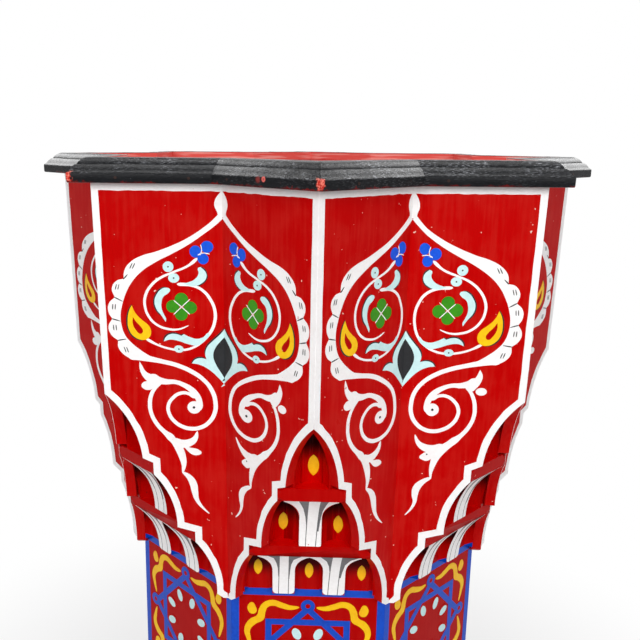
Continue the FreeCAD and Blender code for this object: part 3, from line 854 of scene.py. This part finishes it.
def drawBands(side, ridgeWidth, seed):
    # the white lines of one panel: sawn edge, ridge and rim, each a coat above the last
    patches = []
    wobble = bands["wobble"]

    def strip(points):
        patches.append(drawFlat(mirrorPoints(points, side), "white", len(patches) + 1, straight=True))

    edge = sawnEdge()
    inner = [point for point in offsetEdge(edge, bands["sawn"], seed) if point[0] > 0.3]
    inner.append((0.0, inner[-1][1] + 3.5))
    strip(edge + [(0.0, stand["bodyHeight"])] + inner[::-1])
    steps = 14
    drops = [bands["apexDrop"] * i / steps for i in range(steps + 1)]
    ridgeOut = [(panelLength * planShare(drop), drop) for drop in drops]
    ridgeIn = [(x - ridgeWidth - wobble * noise.noise(Vector((drop / 9, seed, 3))), drop) for x, drop in ridgeOut]
    strip(ridgeOut + ridgeIn[::-1])
    low = [(panelLength * i / 24, bands["rim"] + wobble * 1.5 * noise.noise(Vector((i * 0.6, seed, 7))))
           for i in range(25)]
    strip([(0, 0), (panelLength, 0)] + low[::-1])
    return patches


# Folding the flat drawing onto the two panels of a valley

def layOnPanels(drawing, crease):
    turn = creaseTurn(crease)
    leftWay = Vector((-panelWay.x, panelWay.y, 0))
    leftNormal = Vector((-panelNormal.x, panelNormal.y, panelNormal.z))
    mitre = (panelNormal + leftNormal) / (1 + panelNormal.dot(leftNormal))

    def folded(x, y, high):
        high = max(high, -stand["sunk"])
        place = Vector((0, -stand["valleyRadius"] * planShare(-y), stand["rimUnderside"] + y))
        if abs(x) < 1e-4:
            return turn @ (place + mitre * high)
        way, normal = (panelWay, panelNormal) if x > 0 else (leftWay, leftNormal)
        return turn @ (place + (way * abs(x) + normal * high))

    layBy(drawing, folded)


# how far the hand strayed, across and down: top left, low left, top right, low right of each valley
handShift = {
    8: ((-0.8, -0.3), (0.0, 0.0), (1.4, -0.2), (1.6, -0.2)),
    1: ((1.5, -2.0), (-0.5, -1.3), (-0.4, -0.5), (-0.4, -1.9)),
    2: ((-0.8, 0.6), (0.2, 0.4), (-0.8, 0.6), (0.4, 1.2)),
    3: ((0.9, -0.5), (0.6, 0.3), (0.2, -0.5), (0.9, -0.9)),
    4: ((-1.2, 0.8), (-0.4, 0.2), (-0.9, 0.8), (-0.2, 0.5)),
    5: ((0.5, 1.0), (0.5, 0.1), (-0.3, 0.6), (0.5, 1.0)),
    6: ((-0.4, -1.0), (0.6, -1.0), (-0.4, 0.3), (-1.0, -1.0)),
    7: ((1.0, 0.4), (0.3, 0.9), (0.6, 0.4), (1.0, -0.4)),
}
# how much nearer the valley a big spiral swings, left and right
spiralPull = {8: (0.3, -3.2), 1: (1.6, 0.0)}
handWander = 0.4


def shareOf(value):
    return min(max(value, 0), 1)


def strayed(x, drop, crease):
    topLeft, lowLeft, topRight, lowRight = [Vector(pair) for pair in handShift[crease]]
    low = shareOf((drop - 95) / 40)
    right = shareOf((x + 10) / 20)
    pull = spiralPull.get(crease, (0.0, 0.0))[0 if x < 0 else 1]
    pull *= shareOf((26 - abs(x)) / 12) * shareOf((drop - 112) / 14) * shareOf((166 - drop) / 10)
    return topLeft.lerp(lowLeft, low).lerp(topRight.lerp(lowRight, low), right) + Vector((pull, 0))


for crease in allBays:
    paint = copyOf(motif, "creaseMotif%d" % crease)
    for vertex in paint.data.vertices:
        x, y = vertex.co.x, vertex.co.y
        shiftX, shiftDrop = strayed(x, -y, crease)
        wander = noise.noise_vector(Vector((x / 22, y / 22, crease * 5.3)))
        vertex.co.x = x + shiftX + wander.x * handWander
        vertex.co.y = y - shiftDrop + wander.y * handWander
    rightBay = crease % stand["bays"] + 1
    rightRidge = bands["ridge"].get(rightBay, bands["ridgeElse"])
    leftRidge = bands["ridge"].get(crease, bands["ridgeElse"])
    edges = drawBands(1, rightRidge, crease * 2.7) + drawBands(-1, leftRidge, crease * 3.9)
    paint = joinUp("panelPaint%d" % crease, [paint, meshDrawing("edgeBands", edges)])
    sliced(paint, [0], (1, 0, 0))             # an edge down the valley, to fold along
    layOnPanels(paint, crease)
    finishPiece(paint)
bpy.data.objects.remove(motif)
print("panels painted")


# Rim strips: a flat fascia, two sloping hollows with a groove between, mitred at every corner

rim = {
    "section": [(0, 0), (10.7, 0), (11.2, 0.25), (11.42, 0.8), (11.42, 5.2), (11.2, 5.9), (10.6, 6.4), (9.9, 7.0),
                (9.3, 7.9), (8.65, 8.8), (7.7, 9.75), (6.65, 10.45), (6.05, 9.9), (5.95, 10.6), (5.1, 12.0),
                (3.95, 13.1), (2.6, 13.9), (1.2, 14.4), (0, 14.5)],   # outwards and up, from the panel's top edge
    "spare": 20.0,
    "step": 4.0,
    "mitreGap": 0.06,
    "wave": 0.22,            # how unevenly the strips were planed and painted
    "trueTo": 0.2,           # the underside stays flat up to here
}


def makeRimStrip():
    section = rim["section"]
    bpy.ops.mesh.primitive_circle_add(vertices=len(section), radius=1, fill_type="NGON")
    strip = bpy.context.object
    for vertex, (outward, up) in zip(strip.data.vertices, section):
        vertex.co = (-rim["spare"], outward, up)
    length = panelLength + 2 * rim["spare"]
    bpy.ops.object.mode_set(mode="EDIT")
    bpy.ops.mesh.select_all(action="SELECT")
    bpy.ops.mesh.extrude_region_move(TRANSFORM_OT_translate={"value": (length, 0, 0)})
    bpy.ops.object.mode_set(mode="OBJECT")
    sliced(strip, [i * rim["step"] - rim["spare"] for i in range(1, int(length / rim["step"]))], (1, 0, 0))
    for vertex in strip.data.vertices:
        vertex.co = offPanel(*vertex.co)
    for direction in ((-1, 0, 0), ridgeSide):     # the mitre at the valley, and the one at the ridge
        sliced(strip, [-rim["mitreGap"]], direction, use_fill=True, clear_outer=True)
    mergeUp(strip, 0.01)
    return strip


def placeStrip(source, crease, side):
    strip = copyOf(source, "strip")
    if side < 0:
        for vertex in strip.data.vertices:
            vertex.co.x = -vertex.co.x
        strip.data.flip_normals()
    turn = creaseTurn(crease)
    for vertex in strip.data.vertices:
        place = turn @ vertex.co
        wave = noise.noise_vector(place / 14) * rim["wave"] + noise.noise_vector(place / 4) * rim["wave"] * 0.4
        if place.z > stand["rimUnderside"] + rim["trueTo"]:
            place += wave
        vertex.co = place * mm
    return strip


rimStrip = makeRimStrip()
for bay in allBays:
    before = (bay - 2) % stand["bays"] + 1
    pair = joinUp("rimStrips%d" % bay, [placeStrip(rimStrip, before, 1), placeStrip(rimStrip, bay, -1)])
    dress(pair, rimBlack)
    smoothTo(pair, 35)
    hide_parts("rim_moulding_%d" % bay)
    finishPiece(pair)
bpy.data.objects.remove(rimStrip)
print("rim built")


# A painted highlight: a pale line on the sawn top edge of the panels, along the tray, where the edge catches the
# light

trayEdgeGlint = {
    "ridge": stand["ridgeRadius"] - stand["board"] / abs(panelNormal.dot(ridgeWay)),
    "valley": stand["valleyRadius"] - stand["board"] / abs(panelNormal.y),
    "atRidge": 1.6 * 1.6, "atValley": 1.6 * 1.15,       # its width
    "high": 0.06,
}


def edgeGlintTray():
    count = 2 * stand["bays"]
    bpy.ops.mesh.primitive_circle_add(vertices=count, radius=1, fill_type="NOTHING")
    edge = bpy.context.object
    edge.name = "trayEdgeGlintLine"
    bpy.ops.object.mode_set(mode="EDIT")
    bpy.ops.mesh.select_all(action="SELECT")
    bpy.ops.mesh.extrude_region_move()
    bpy.ops.object.mode_set(mode="OBJECT")
    for i, vertex in enumerate(edge.data.vertices):
        corner = i % count
        turn = corner * bayTurn / 2
        radius = trayEdgeGlint["ridge"] if corner % 2 == 0 else trayEdgeGlint["valley"]
        if i >= count:
            radius += trayEdgeGlint["atRidge"] if corner % 2 == 0 else trayEdgeGlint["atValley"]
        vertex.co = (radius * math.sin(turn) * mm, -radius * math.cos(turn) * mm,
                     (stand["height"] + trayEdgeGlint["high"]) * mm)
    dress(edge, paints["edgeGlint"])
    finishPiece(edge)


edgeGlintTray()
print("tray edge worn")


# Carved tiers: copies of the frame's blocks, with white brackets and red niches

nicheGap = 16.8               # half the distance between two niches of a tier
lowerFront, middleFront, upperFront = [
    frontOf(name) for name in ("lower_niches_1", "middle_niches_1", "upper_niche_1")]
tiers = {
    "lower": {"node": "lower_niches_%d", "low": 242.0, "under": 278.0,
              "footOut": stand["shaftFace"] + 6, "front": lowerFront,
              "niches": (-2 * nicheGap, 0.0, 2 * nicheGap), "radius": 9.4,
              "drop": 257.2, "apex": 277.2, "rise": 17.0},
    "middle": {"node": "middle_niches_%d", "low": 285.5, "under": 326.2,
               "footOut": lowerFront, "front": middleFront,
               "niches": (-nicheGap, nicheGap), "radius": 9.7,
               "drop": 297.2, "apex": 325.4, "rise": 20.0},
    "upper": {"node": "upper_niche_%d",                     # upright in front, with no bracket
              "footOut": upperFront, "front": upperFront,
              "niches": (0.0,), "radius": bands["upperArch"] - 5.6,
              "drop": 345.6, "apex": 372.1},
}


def coveReach(tier, height):
    # how far out the hollow front of a block stands at a height
    run = tier["front"] - tier["footOut"]
    if run <= 0:
        return tier["front"]
    rise = tier["under"] - tier["low"]
    radius = (run * run + rise * rise) / (2 * run)
    up = min(max(height - tier["low"], 0), rise)
    return tier["footOut"] + radius - math.sqrt(radius * radius - up * up)


def paintBlock(bay, key):
    tier = tiers[key]
    node = nodes[tier["node"] % bay]
    block = copyOf(node, key + "Carving%d" % bay)
    block.parent = None
    mergeUp(block, 0.00001)
    dress(block, paints["red"], shadedNicheReds[key], paints["litLedge"])
    back = ridgeTurn(bay).transposed()
    for face in block.data.polygons:
        middle = back @ face.center / mm
        inNiche = any(abs(middle.x - x) < tier["radius"] + 0.1 for x in tier["niches"])
        if inNiche and -middle.y < coveReach(tier, middle.z) - 0.6 and middle.z < tier["apex"] + 0.1:
            face.material_index = 1
        # faces that look up get the lighter red: painted light on the tops of the ledges
        if face.normal.z > 0.9:
            face.material_index = 2
    smoothTo(block, 28)
    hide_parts(node.name)
    finishPiece(block)


for bay in allBays:
    for key in tiers:
        paintBlock(bay, key)
print("tiers carved")


# Yellow drops on the niche backs, white brackets with grey spandrels and thin lines

nicheDrop = [(0, -6.7), (1.9, -4.9), (3.1, -1.6), (3.0, 1.8), (1.7, 4.8), (0, 6.4)]
dropSpots = {                 # across and up from the middle of each niche's back, and size
    "lower": ((-0.75, 1.0, 0.88), (0.3, -0.9, 0.88), (2.2, -1.8, 0.88)),
    "middle": ((-0.7, 0.8, 0.95), (1.5, -0.6, 0.95)),
    "upper": ((1.0, 0.0, 1.05),),
}
# brackets: middle, then for each grey line its place at the foot and at the ledge, and the outer edge
# of its spandrel as places across and heights, from the ledge down
bracketArt = {
    "lower": ((-nicheGap, (-3.4, -2.7, ((-10.0, 278), (-6.4, 275), (-4.7, 269), (-3.9, 264), (-3.6, 256))),
               (3.2, 3.7, ((11.6, 278), (6.6, 273.5), (5.0, 268), (4.3, 262), (3.8, 254)))),
              (nicheGap, (-3.8, -2.0, ((-9.4, 278), (-5.4, 272.5), (-3.8, 267), (-3.1, 261), (-2.9, 256))),
               (2.6, 4.6, ((15.0, 278), (10.0, 274.5), (6.8, 268.7), (5.4, 262), (4.4, 256))))),
    "middle": ((0.0, (-2.9, -1.6, ((-7.6, 326.2), (-4.8, 317.5), (-3.3, 309), (-2.6, 301))),
                (3.6, 5.9, ((10.6, 326.2), (7.4, 315), (6.2, 306), (5.3, 297)))),),
}


def layOnNiche(drawing, bay, key, middleX):
    tier, turn = tiers[key], ridgeTurn(bay)

    def laid(across, up, high):
        deep = tier["footOut"] - math.sqrt(max(tier["radius"] ** 2 - across ** 2, 0))
        deep = max(deep, stand["shaftFace"])
        return turn @ Vector((middleX + across, -(deep + high), tier["drop"] + up))

    layBy(drawing, laid)


def layOnCove(drawing, bay, key):
    # drawing: x across the bay, y the true height
    tier, turn = tiers[key], ridgeTurn(bay)

    def laid(x, height, high):
        return turn @ Vector((x, -(coveReach(tier, height) + max(high, -stand["sunk"])), height))

    layBy(drawing, laid)


def nicheSide(tier, middle, side, count=10):
    # the outline of a niche from its spring up to its point, on one side
    spring = Vector((middle + side * tier["radius"], tier["apex"] - tier["rise"]))
    point = Vector((middle, tier["apex"]))
    chord = point - spring
    out = Vector((chord.y, -chord.x)).normalized() * side
    sag = chord.length * 0.15
    points = []
    for i in range(count + 1):
        share = i / count
        points.append(spring + chord * share + out * sag * 4 * share * (1 - share))
    return points


def drawBrackets(key):
    tier = tiers[key]
    patches = []
    under = tier["under"]
    low = tier["low"] + 0.1
    foot = nicheGap - tier["radius"]
    corner = 2.4 if key == "lower" else 0.8

    def shape(points, colour, level):
        patches.append(drawFlat([(x, -height) for x, height in points], colour, level, straight=True))

    for middle, *strokes in bracketArt[key]:
        left = nicheSide(tier, middle - nicheGap, 1)
        right = nicheSide(tier, middle + nicheGap, -1)
        outline = [(middle - foot + corner, low), (middle - foot + corner * 0.3, low + corner * 0.3),
                   (middle - foot, low + corner)]
        outline += [(p.x, p.y) for p in left]
        outline += [(middle - nicheGap, under - 0.05), (middle + nicheGap, under - 0.05)]
        outline += [(p.x, p.y) for p in right[::-1]]
        outline += [(middle + foot, low + corner), (middle + foot - corner * 0.3, low + corner * 0.3),
                    (middle + foot - corner, low)]
        shape(outline, "white", 1)
        for atFoot, atLedge, spandrel in strokes:
            a, b = middle + atFoot, middle + atLedge
            shape([(a - 0.25, low), (a + 0.25, low), (b + 0.3, under), (b - 0.3, under)], "grey", 2)
            lowest = spandrel[-1][1]
            share = (lowest - low) / (under - low)
            shape([(middle + x, height) for x, height in spandrel] + [(a + (b - a) * share, lowest), (b, under)],
                  "grey", 3)
    return patches


for key in bracketArt:
    tier = tiers[key]
    flat = meshDrawing(key + "Brackets", drawBrackets(key))
    steps = 14
    sliced(flat, [tier["low"] + (tier["under"] - tier["low"]) * i / steps for i in range(1, steps)], (0, 1, 0))
    for bay in allBays:
        brackets = copyOf(flat, key + "BracketPaint%d" % bay)
        layOnCove(brackets, bay, key)
        smoothTo(brackets, 35)
        finishPiece(brackets)
    bpy.data.objects.remove(flat)

dropShape = meshDrawing("nicheDrop", [drawFlat(bothSides(nicheDrop), "yellow", 4, {0, len(nicheDrop) - 1})])
sliced(dropShape, (-2.4, -1.2, 0, 1.2, 2.4), (1, 0, 0))
for bay in allBays:
    drops = []
    for key, tier in tiers.items():
        for middleX, (across, up, size) in zip(tier["niches"], dropSpots[key]):
            drop = copyOf(dropShape, "drop")
            for vertex in drop.data.vertices:
                vertex.co.x = vertex.co.x * size + across
                vertex.co.y = vertex.co.y * size + up
            layOnNiche(drop, bay, key, middleX)
            dress(drop, shadedDropYellows[key])
            drops.append(drop)
    finishPiece(joinUp("nicheDrops%d" % bay, drops))
bpy.data.objects.remove(dropShape)
print("niches finished")


# Shaft boards: blue borders and band, an interlaced star, yellow scrolls

shaftArt = {
    "border": 5.2,
    "borderTop": 236.0, "bandLow": 236.8, "bandHigh": 242.1, "bandHalf": 49.0,
    "starHeight": 189.5, "squareHalf": 27.0, "line": 4.4,
    "petals": 8, "petalRadius": 19.5, "petalHalfWide": 2.9, "petalHalfHigh": 4.6,
    "lowest": 4.0,
    "footHalf": 31.0, "footSpring": 60.0, "notch": 5.5, "notchRise": 7.0, "footTop": 122.0, "footBow": 0.14,
    "footLine": 3.2, "footGap": 2.4,
    "rings": ((4.8, "shaftBlueShaded", 5), (1.7, "red", 7)),       # at the points of the square, radius and coat
}
shaftScroll = [(6.5, 228, 1.2), (12, 227.6, 3.4), (18, 229.2, 4.2), (24, 231, 4.4), (29, 229.2, 4.6),
               (31.4, 224.8, 5), (32.6, 219.6, 5.6), (38, 216, 5.4), (41.6, 210, 4.2), (40.6, 203, 3),
               (38.6, 196.4, 0.8)]
shaftLeaf = [(35.4, 223.6), (36, 228), (38.4, 231), (41, 229), (41.2, 225), (38.6, 222.2)]


def layOnShaft(drawing, bay):
    turn = ridgeTurn(bay)

    def laid(x, height, high):
        return turn @ Vector((x, -(stand["shaftFace"] + max(high, -stand["sunk"])), height))

    layBy(drawing, laid)


def grown(edge, width):
    # an outline moved outwards, away from the opening
    moved = []
    for here, first, last in waysAlong(edge):
        firstOut, lastOut = Vector((first.y, -first.x)), Vector((last.y, -last.x))
        side = (firstOut + lastOut) / max(0.5, 1 + firstOut.dot(lastOut))
        place = here + side * width
        moved.append((max(place.x, 0.0), place.y))
    moved[-1] = (0.0, here.y + width * 1.25)
    return moved


def footArch():
    # the right side of the gap between two feet, from the floor up to its point
    art = shaftArt
    half = art["footHalf"]
    edge = [(half, art["lowest"]), (half, art["footSpring"]), (half - art["notch"], art["footSpring"] + 0.1),
            (half - art["notch"], art["footSpring"] + art["notchRise"])]
    start, end = Vector(edge[-1]), Vector((0, art["footTop"]))
    chord = end - start
    out = Vector((chord.y, -chord.x)).normalized()
    for i in range(1, 13):
        share = i / 12
        point = start + chord * share + out * chord.length * art["footBow"] * 4 * share * (1 - share)
        edge.append((point.x, point.y))
    return edge


def drawShaft():
    art = shaftArt
    patches = []
    half = stand["shaftHalf"]
    centre = art["starHeight"]

    def shape(points, colour, level, straight=False):
        patches.append(drawFlat([(x, -height) for x, height in points], colour, level, straight=straight))

    def brush(points, colour, level):
        patches.append(drawFlat(strokeOutline([(x, -height, width) for x, height, width in points]),
                                colour, level))

    def block(left, right, low, high):
        shape([(left, low), (right, low), (right, high), (left, high)], "shaftBlueShaded", 1, straight=True)

    def frameOf(halfSize, turn, level):
        wide = art["line"] / 2
        for i in range(4):
            angle = turn + i * math.pi / 2
            along = Vector((math.cos(angle), math.sin(angle)))
            across = Vector((-along.y, along.x))
            middle = across * halfSize
            corners = []
            for end, side in ((-1, -1), (1, -1), (1, 1), (-1, 1)):
                point = middle + along * end * (halfSize + wide) + across * side * wide
                corners.append((point.x, centre + point.y))
            shape(corners, "shaftBlueShaded", level + i % 2, straight=True)

    for side in (-1, 1):
        block(side * half, side * (half - art["border"]), art["lowest"], art["borderTop"])
    block(-art["bandHalf"], art["bandHalf"], art["bandLow"], art["bandHigh"])
    frameOf(art["squareHalf"], 0, 1)
    frameOf(art["squareHalf"] * 0.98, math.pi / 4, 3)
    for i in range(4):
        angle = i * math.pi / 2
        point = Vector((math.cos(angle), math.sin(angle))) * (art["squareHalf"] * math.sqrt(2) + 1.5)
        for radius, colour, level in art["rings"]:
            shape(ovalOutline(point.x, centre + point.y, radius, radius), colour, level)
    for i in range(art["petals"]):
        angle = math.pi / 8 + i * 2 * math.pi / art["petals"]
        x, up = art["petalRadius"] * math.cos(angle), art["petalRadius"] * math.sin(angle)
        for grow, colour, level in ((1.6, "red", 6), (0.0, "sky", 8)):
            shape(ovalOutline(x, centre + up, art["petalHalfHigh"] + grow, art["petalHalfWide"] + grow, angle),
                  colour, level)
    edge = footArch()
    line = grown(edge, art["footGap"]) + grown(edge, art["footGap"] + art["footLine"])[::-1]
    for side in (-1, 1):
        shape([(x * side, height) for x, height in line], "shaftBlueShaded", 2, straight=True)
    for side in (-1, 1):
        for base, way in ((0, 1), (2 * centre, -1)):       # above the star, and again below it
            brush([(x * side, base + way * height, width) for x, height, width in shaftScroll], "yellow", 2)
            shape([(x * side, base + way * height) for x, height in shaftLeaf], "yellow", 4)
    return patches


flatShaft = meshDrawing("shaftArt", drawShaft())
for bay in allBays:
    art = copyOf(flatShaft, "shaftPaint%d" % bay)
    layOnShaft(art, bay)
    finishPiece(art)
bpy.data.objects.remove(flatShaft)
print("shaft painted")


# Floor, light and camera

studio = {
    "floorSize": 60.0,
    "floorGrey": 0.6, "floorGlow": 0.7,      # its own grey takes the shadow, and the glow makes the rest white
    "shadowNear": 0.2, "shadowFar": 0.5,     # metres from the axis: the floor's shadow fades out between
    "world": 0.28,
    "ceiling": (0.5, 0.66, 1.0, 0.1),        # gloss sees the white backdrop low down, and a dark ceiling
}
lamps = {      # place, height of what it lights, size, power, and its share in highlights
    "leftKey": ((-0.38, -1.0, 0.78), 0.4, (0.5, 0.35), 4.3, 1.0),
    "rightKey": ((0.38, -1.0, 0.78), 0.4, (0.5, 0.35), 4.3, 1.0),
    "leftBack": ((-1.5, 1.2, 1.6), 0.35, (1.2, 1.2), 13.0, 1.0),
    "rightBack": ((1.5, 1.2, 1.6), 0.35, (1.2, 1.2), 13.0, 1.0),
    "topLight": ((0.0, 0.0, 2.2), 0.4, (1.4, 1.4), 9.0, 0.15),
}


def plainFloor():
    bpy.ops.mesh.primitive_plane_add(size=studio["floorSize"])
    floor = bpy.context.object
    floor.name = "floor"
    material = bpy.data.materials.new("paleFloor")
    material.use_nodes = True
    tree = material.node_tree
    shader = tree.nodes["Principled BSDF"]
    grey = studio["floorGrey"]
    feedAll(tree, shader, {"Base Color": (grey, grey, grey, 1), "Roughness": 0.9})
    glow = addNode(tree, "ShaderNodeEmission")
    feed(tree, glow.inputs["Color"], (1, 1, 1, 1))
    rays = addNode(tree, "ShaderNodeLightPath").outputs
    seen = mathOf(tree, "MAXIMUM", rays["Is Camera Ray"], rays["Is Glossy Ray"])
    seen = mathOf(tree, "MAXIMUM", seen, rays["Is Transmission Ray"])
    away = vectorOf(tree, "LENGTH", placeOf(tree))
    fade = between(tree, away, studio["shadowNear"], studio["shadowFar"], studio["floorGlow"], 1.0)
    mix = addNode(tree, "ShaderNodeMixShader")
    feed(tree, mix.inputs["Fac"], mathOf(tree, "MULTIPLY", fade, seen))
    feed(tree, mix.inputs[1], shader.outputs["BSDF"])
    feed(tree, mix.inputs[2], glow.outputs["Emission"])
    feed(tree, tree.nodes["Material Output"].inputs["Surface"], mix.outputs[0])
    dress(floor, material)


def softLight(name, place, targetHeight, size, power, highlights):
    bpy.ops.object.light_add(type="AREA", location=place)
    lamp = bpy.context.object
    lamp.name = name
    lamp.data.shape = "RECTANGLE"
    lamp.data.size, lamp.data.size_y = size
    lamp.data.energy = power
    lamp.data.specular_factor = highlights
    lamp.visible_camera = False
    way = Vector((0, 0, targetHeight)) - Vector(place)
    lamp.rotation_euler = way.to_track_quat("-Z", "Y").to_euler()


plainFloor()
for name, settings in lamps.items():
    softLight(name, *settings)

world = bpy.data.worlds.new("studio")
bpy.context.scene.world = world
world.use_nodes = True
tree = world.node_tree
rays = addNode(tree, "ShaderNodeLightPath").outputs
ceiling = between(tree, axisOf(tree, placeOf(tree, "Generated"), "Z"), *studio["ceiling"])
seen = mathOf(tree, "MAXIMUM", rays["Is Camera Ray"], rays["Is Transmission Ray"])
seen = mathOf(tree, "MAXIMUM", seen, mathOf(tree, "MULTIPLY", rays["Is Glossy Ray"], ceiling))
feedAll(tree, tree.nodes["Background"], {
    "Color": (1, 1, 1, 1), "Strength": between(tree, seen, 0.0, 1.0, studio["world"], 1.0, "LINEAR")})

view = {
    "place": (-0.0095, -0.6045, 0.5400),
    "turn": -0.0396,        # radians, looks a little to the left of +Y
    "pitch": 0.2259,        # down
    "roll": 0.0082,
    "focalPixels": 779.0, "imagePixels": 640, "middlePixel": 268.84,
}
cameraData = bpy.data.cameras.new("photoCamera")
camera = bpy.data.objects.new("photoCamera", cameraData)
bpy.context.scene.collection.objects.link(camera)
cameraData.sensor_width = 36.0
cameraData.lens = view["focalPixels"] / view["imagePixels"] * cameraData.sensor_width
cameraData.shift_x = 0.5 - view["middlePixel"] / view["imagePixels"]
cameraData.clip_start = 0.02
forward = Vector((math.sin(view["turn"]) * math.cos(view["pitch"]),
                  math.cos(view["turn"]) * math.cos(view["pitch"]), -math.sin(view["pitch"])))
right = forward.cross(Vector((0, 0, 1))).normalized()
up = right.cross(forward)
basis = Matrix((right, up, -forward)).transposed() @ Matrix.Rotation(view["roll"], 3, "Z")
camera.matrix_world = Matrix.Translation(view["place"]) @ basis.to_4x4()
bpy.context.scene.camera = camera
bpy.context.scene.view_settings.view_transform = "Standard"
print("studio ready")
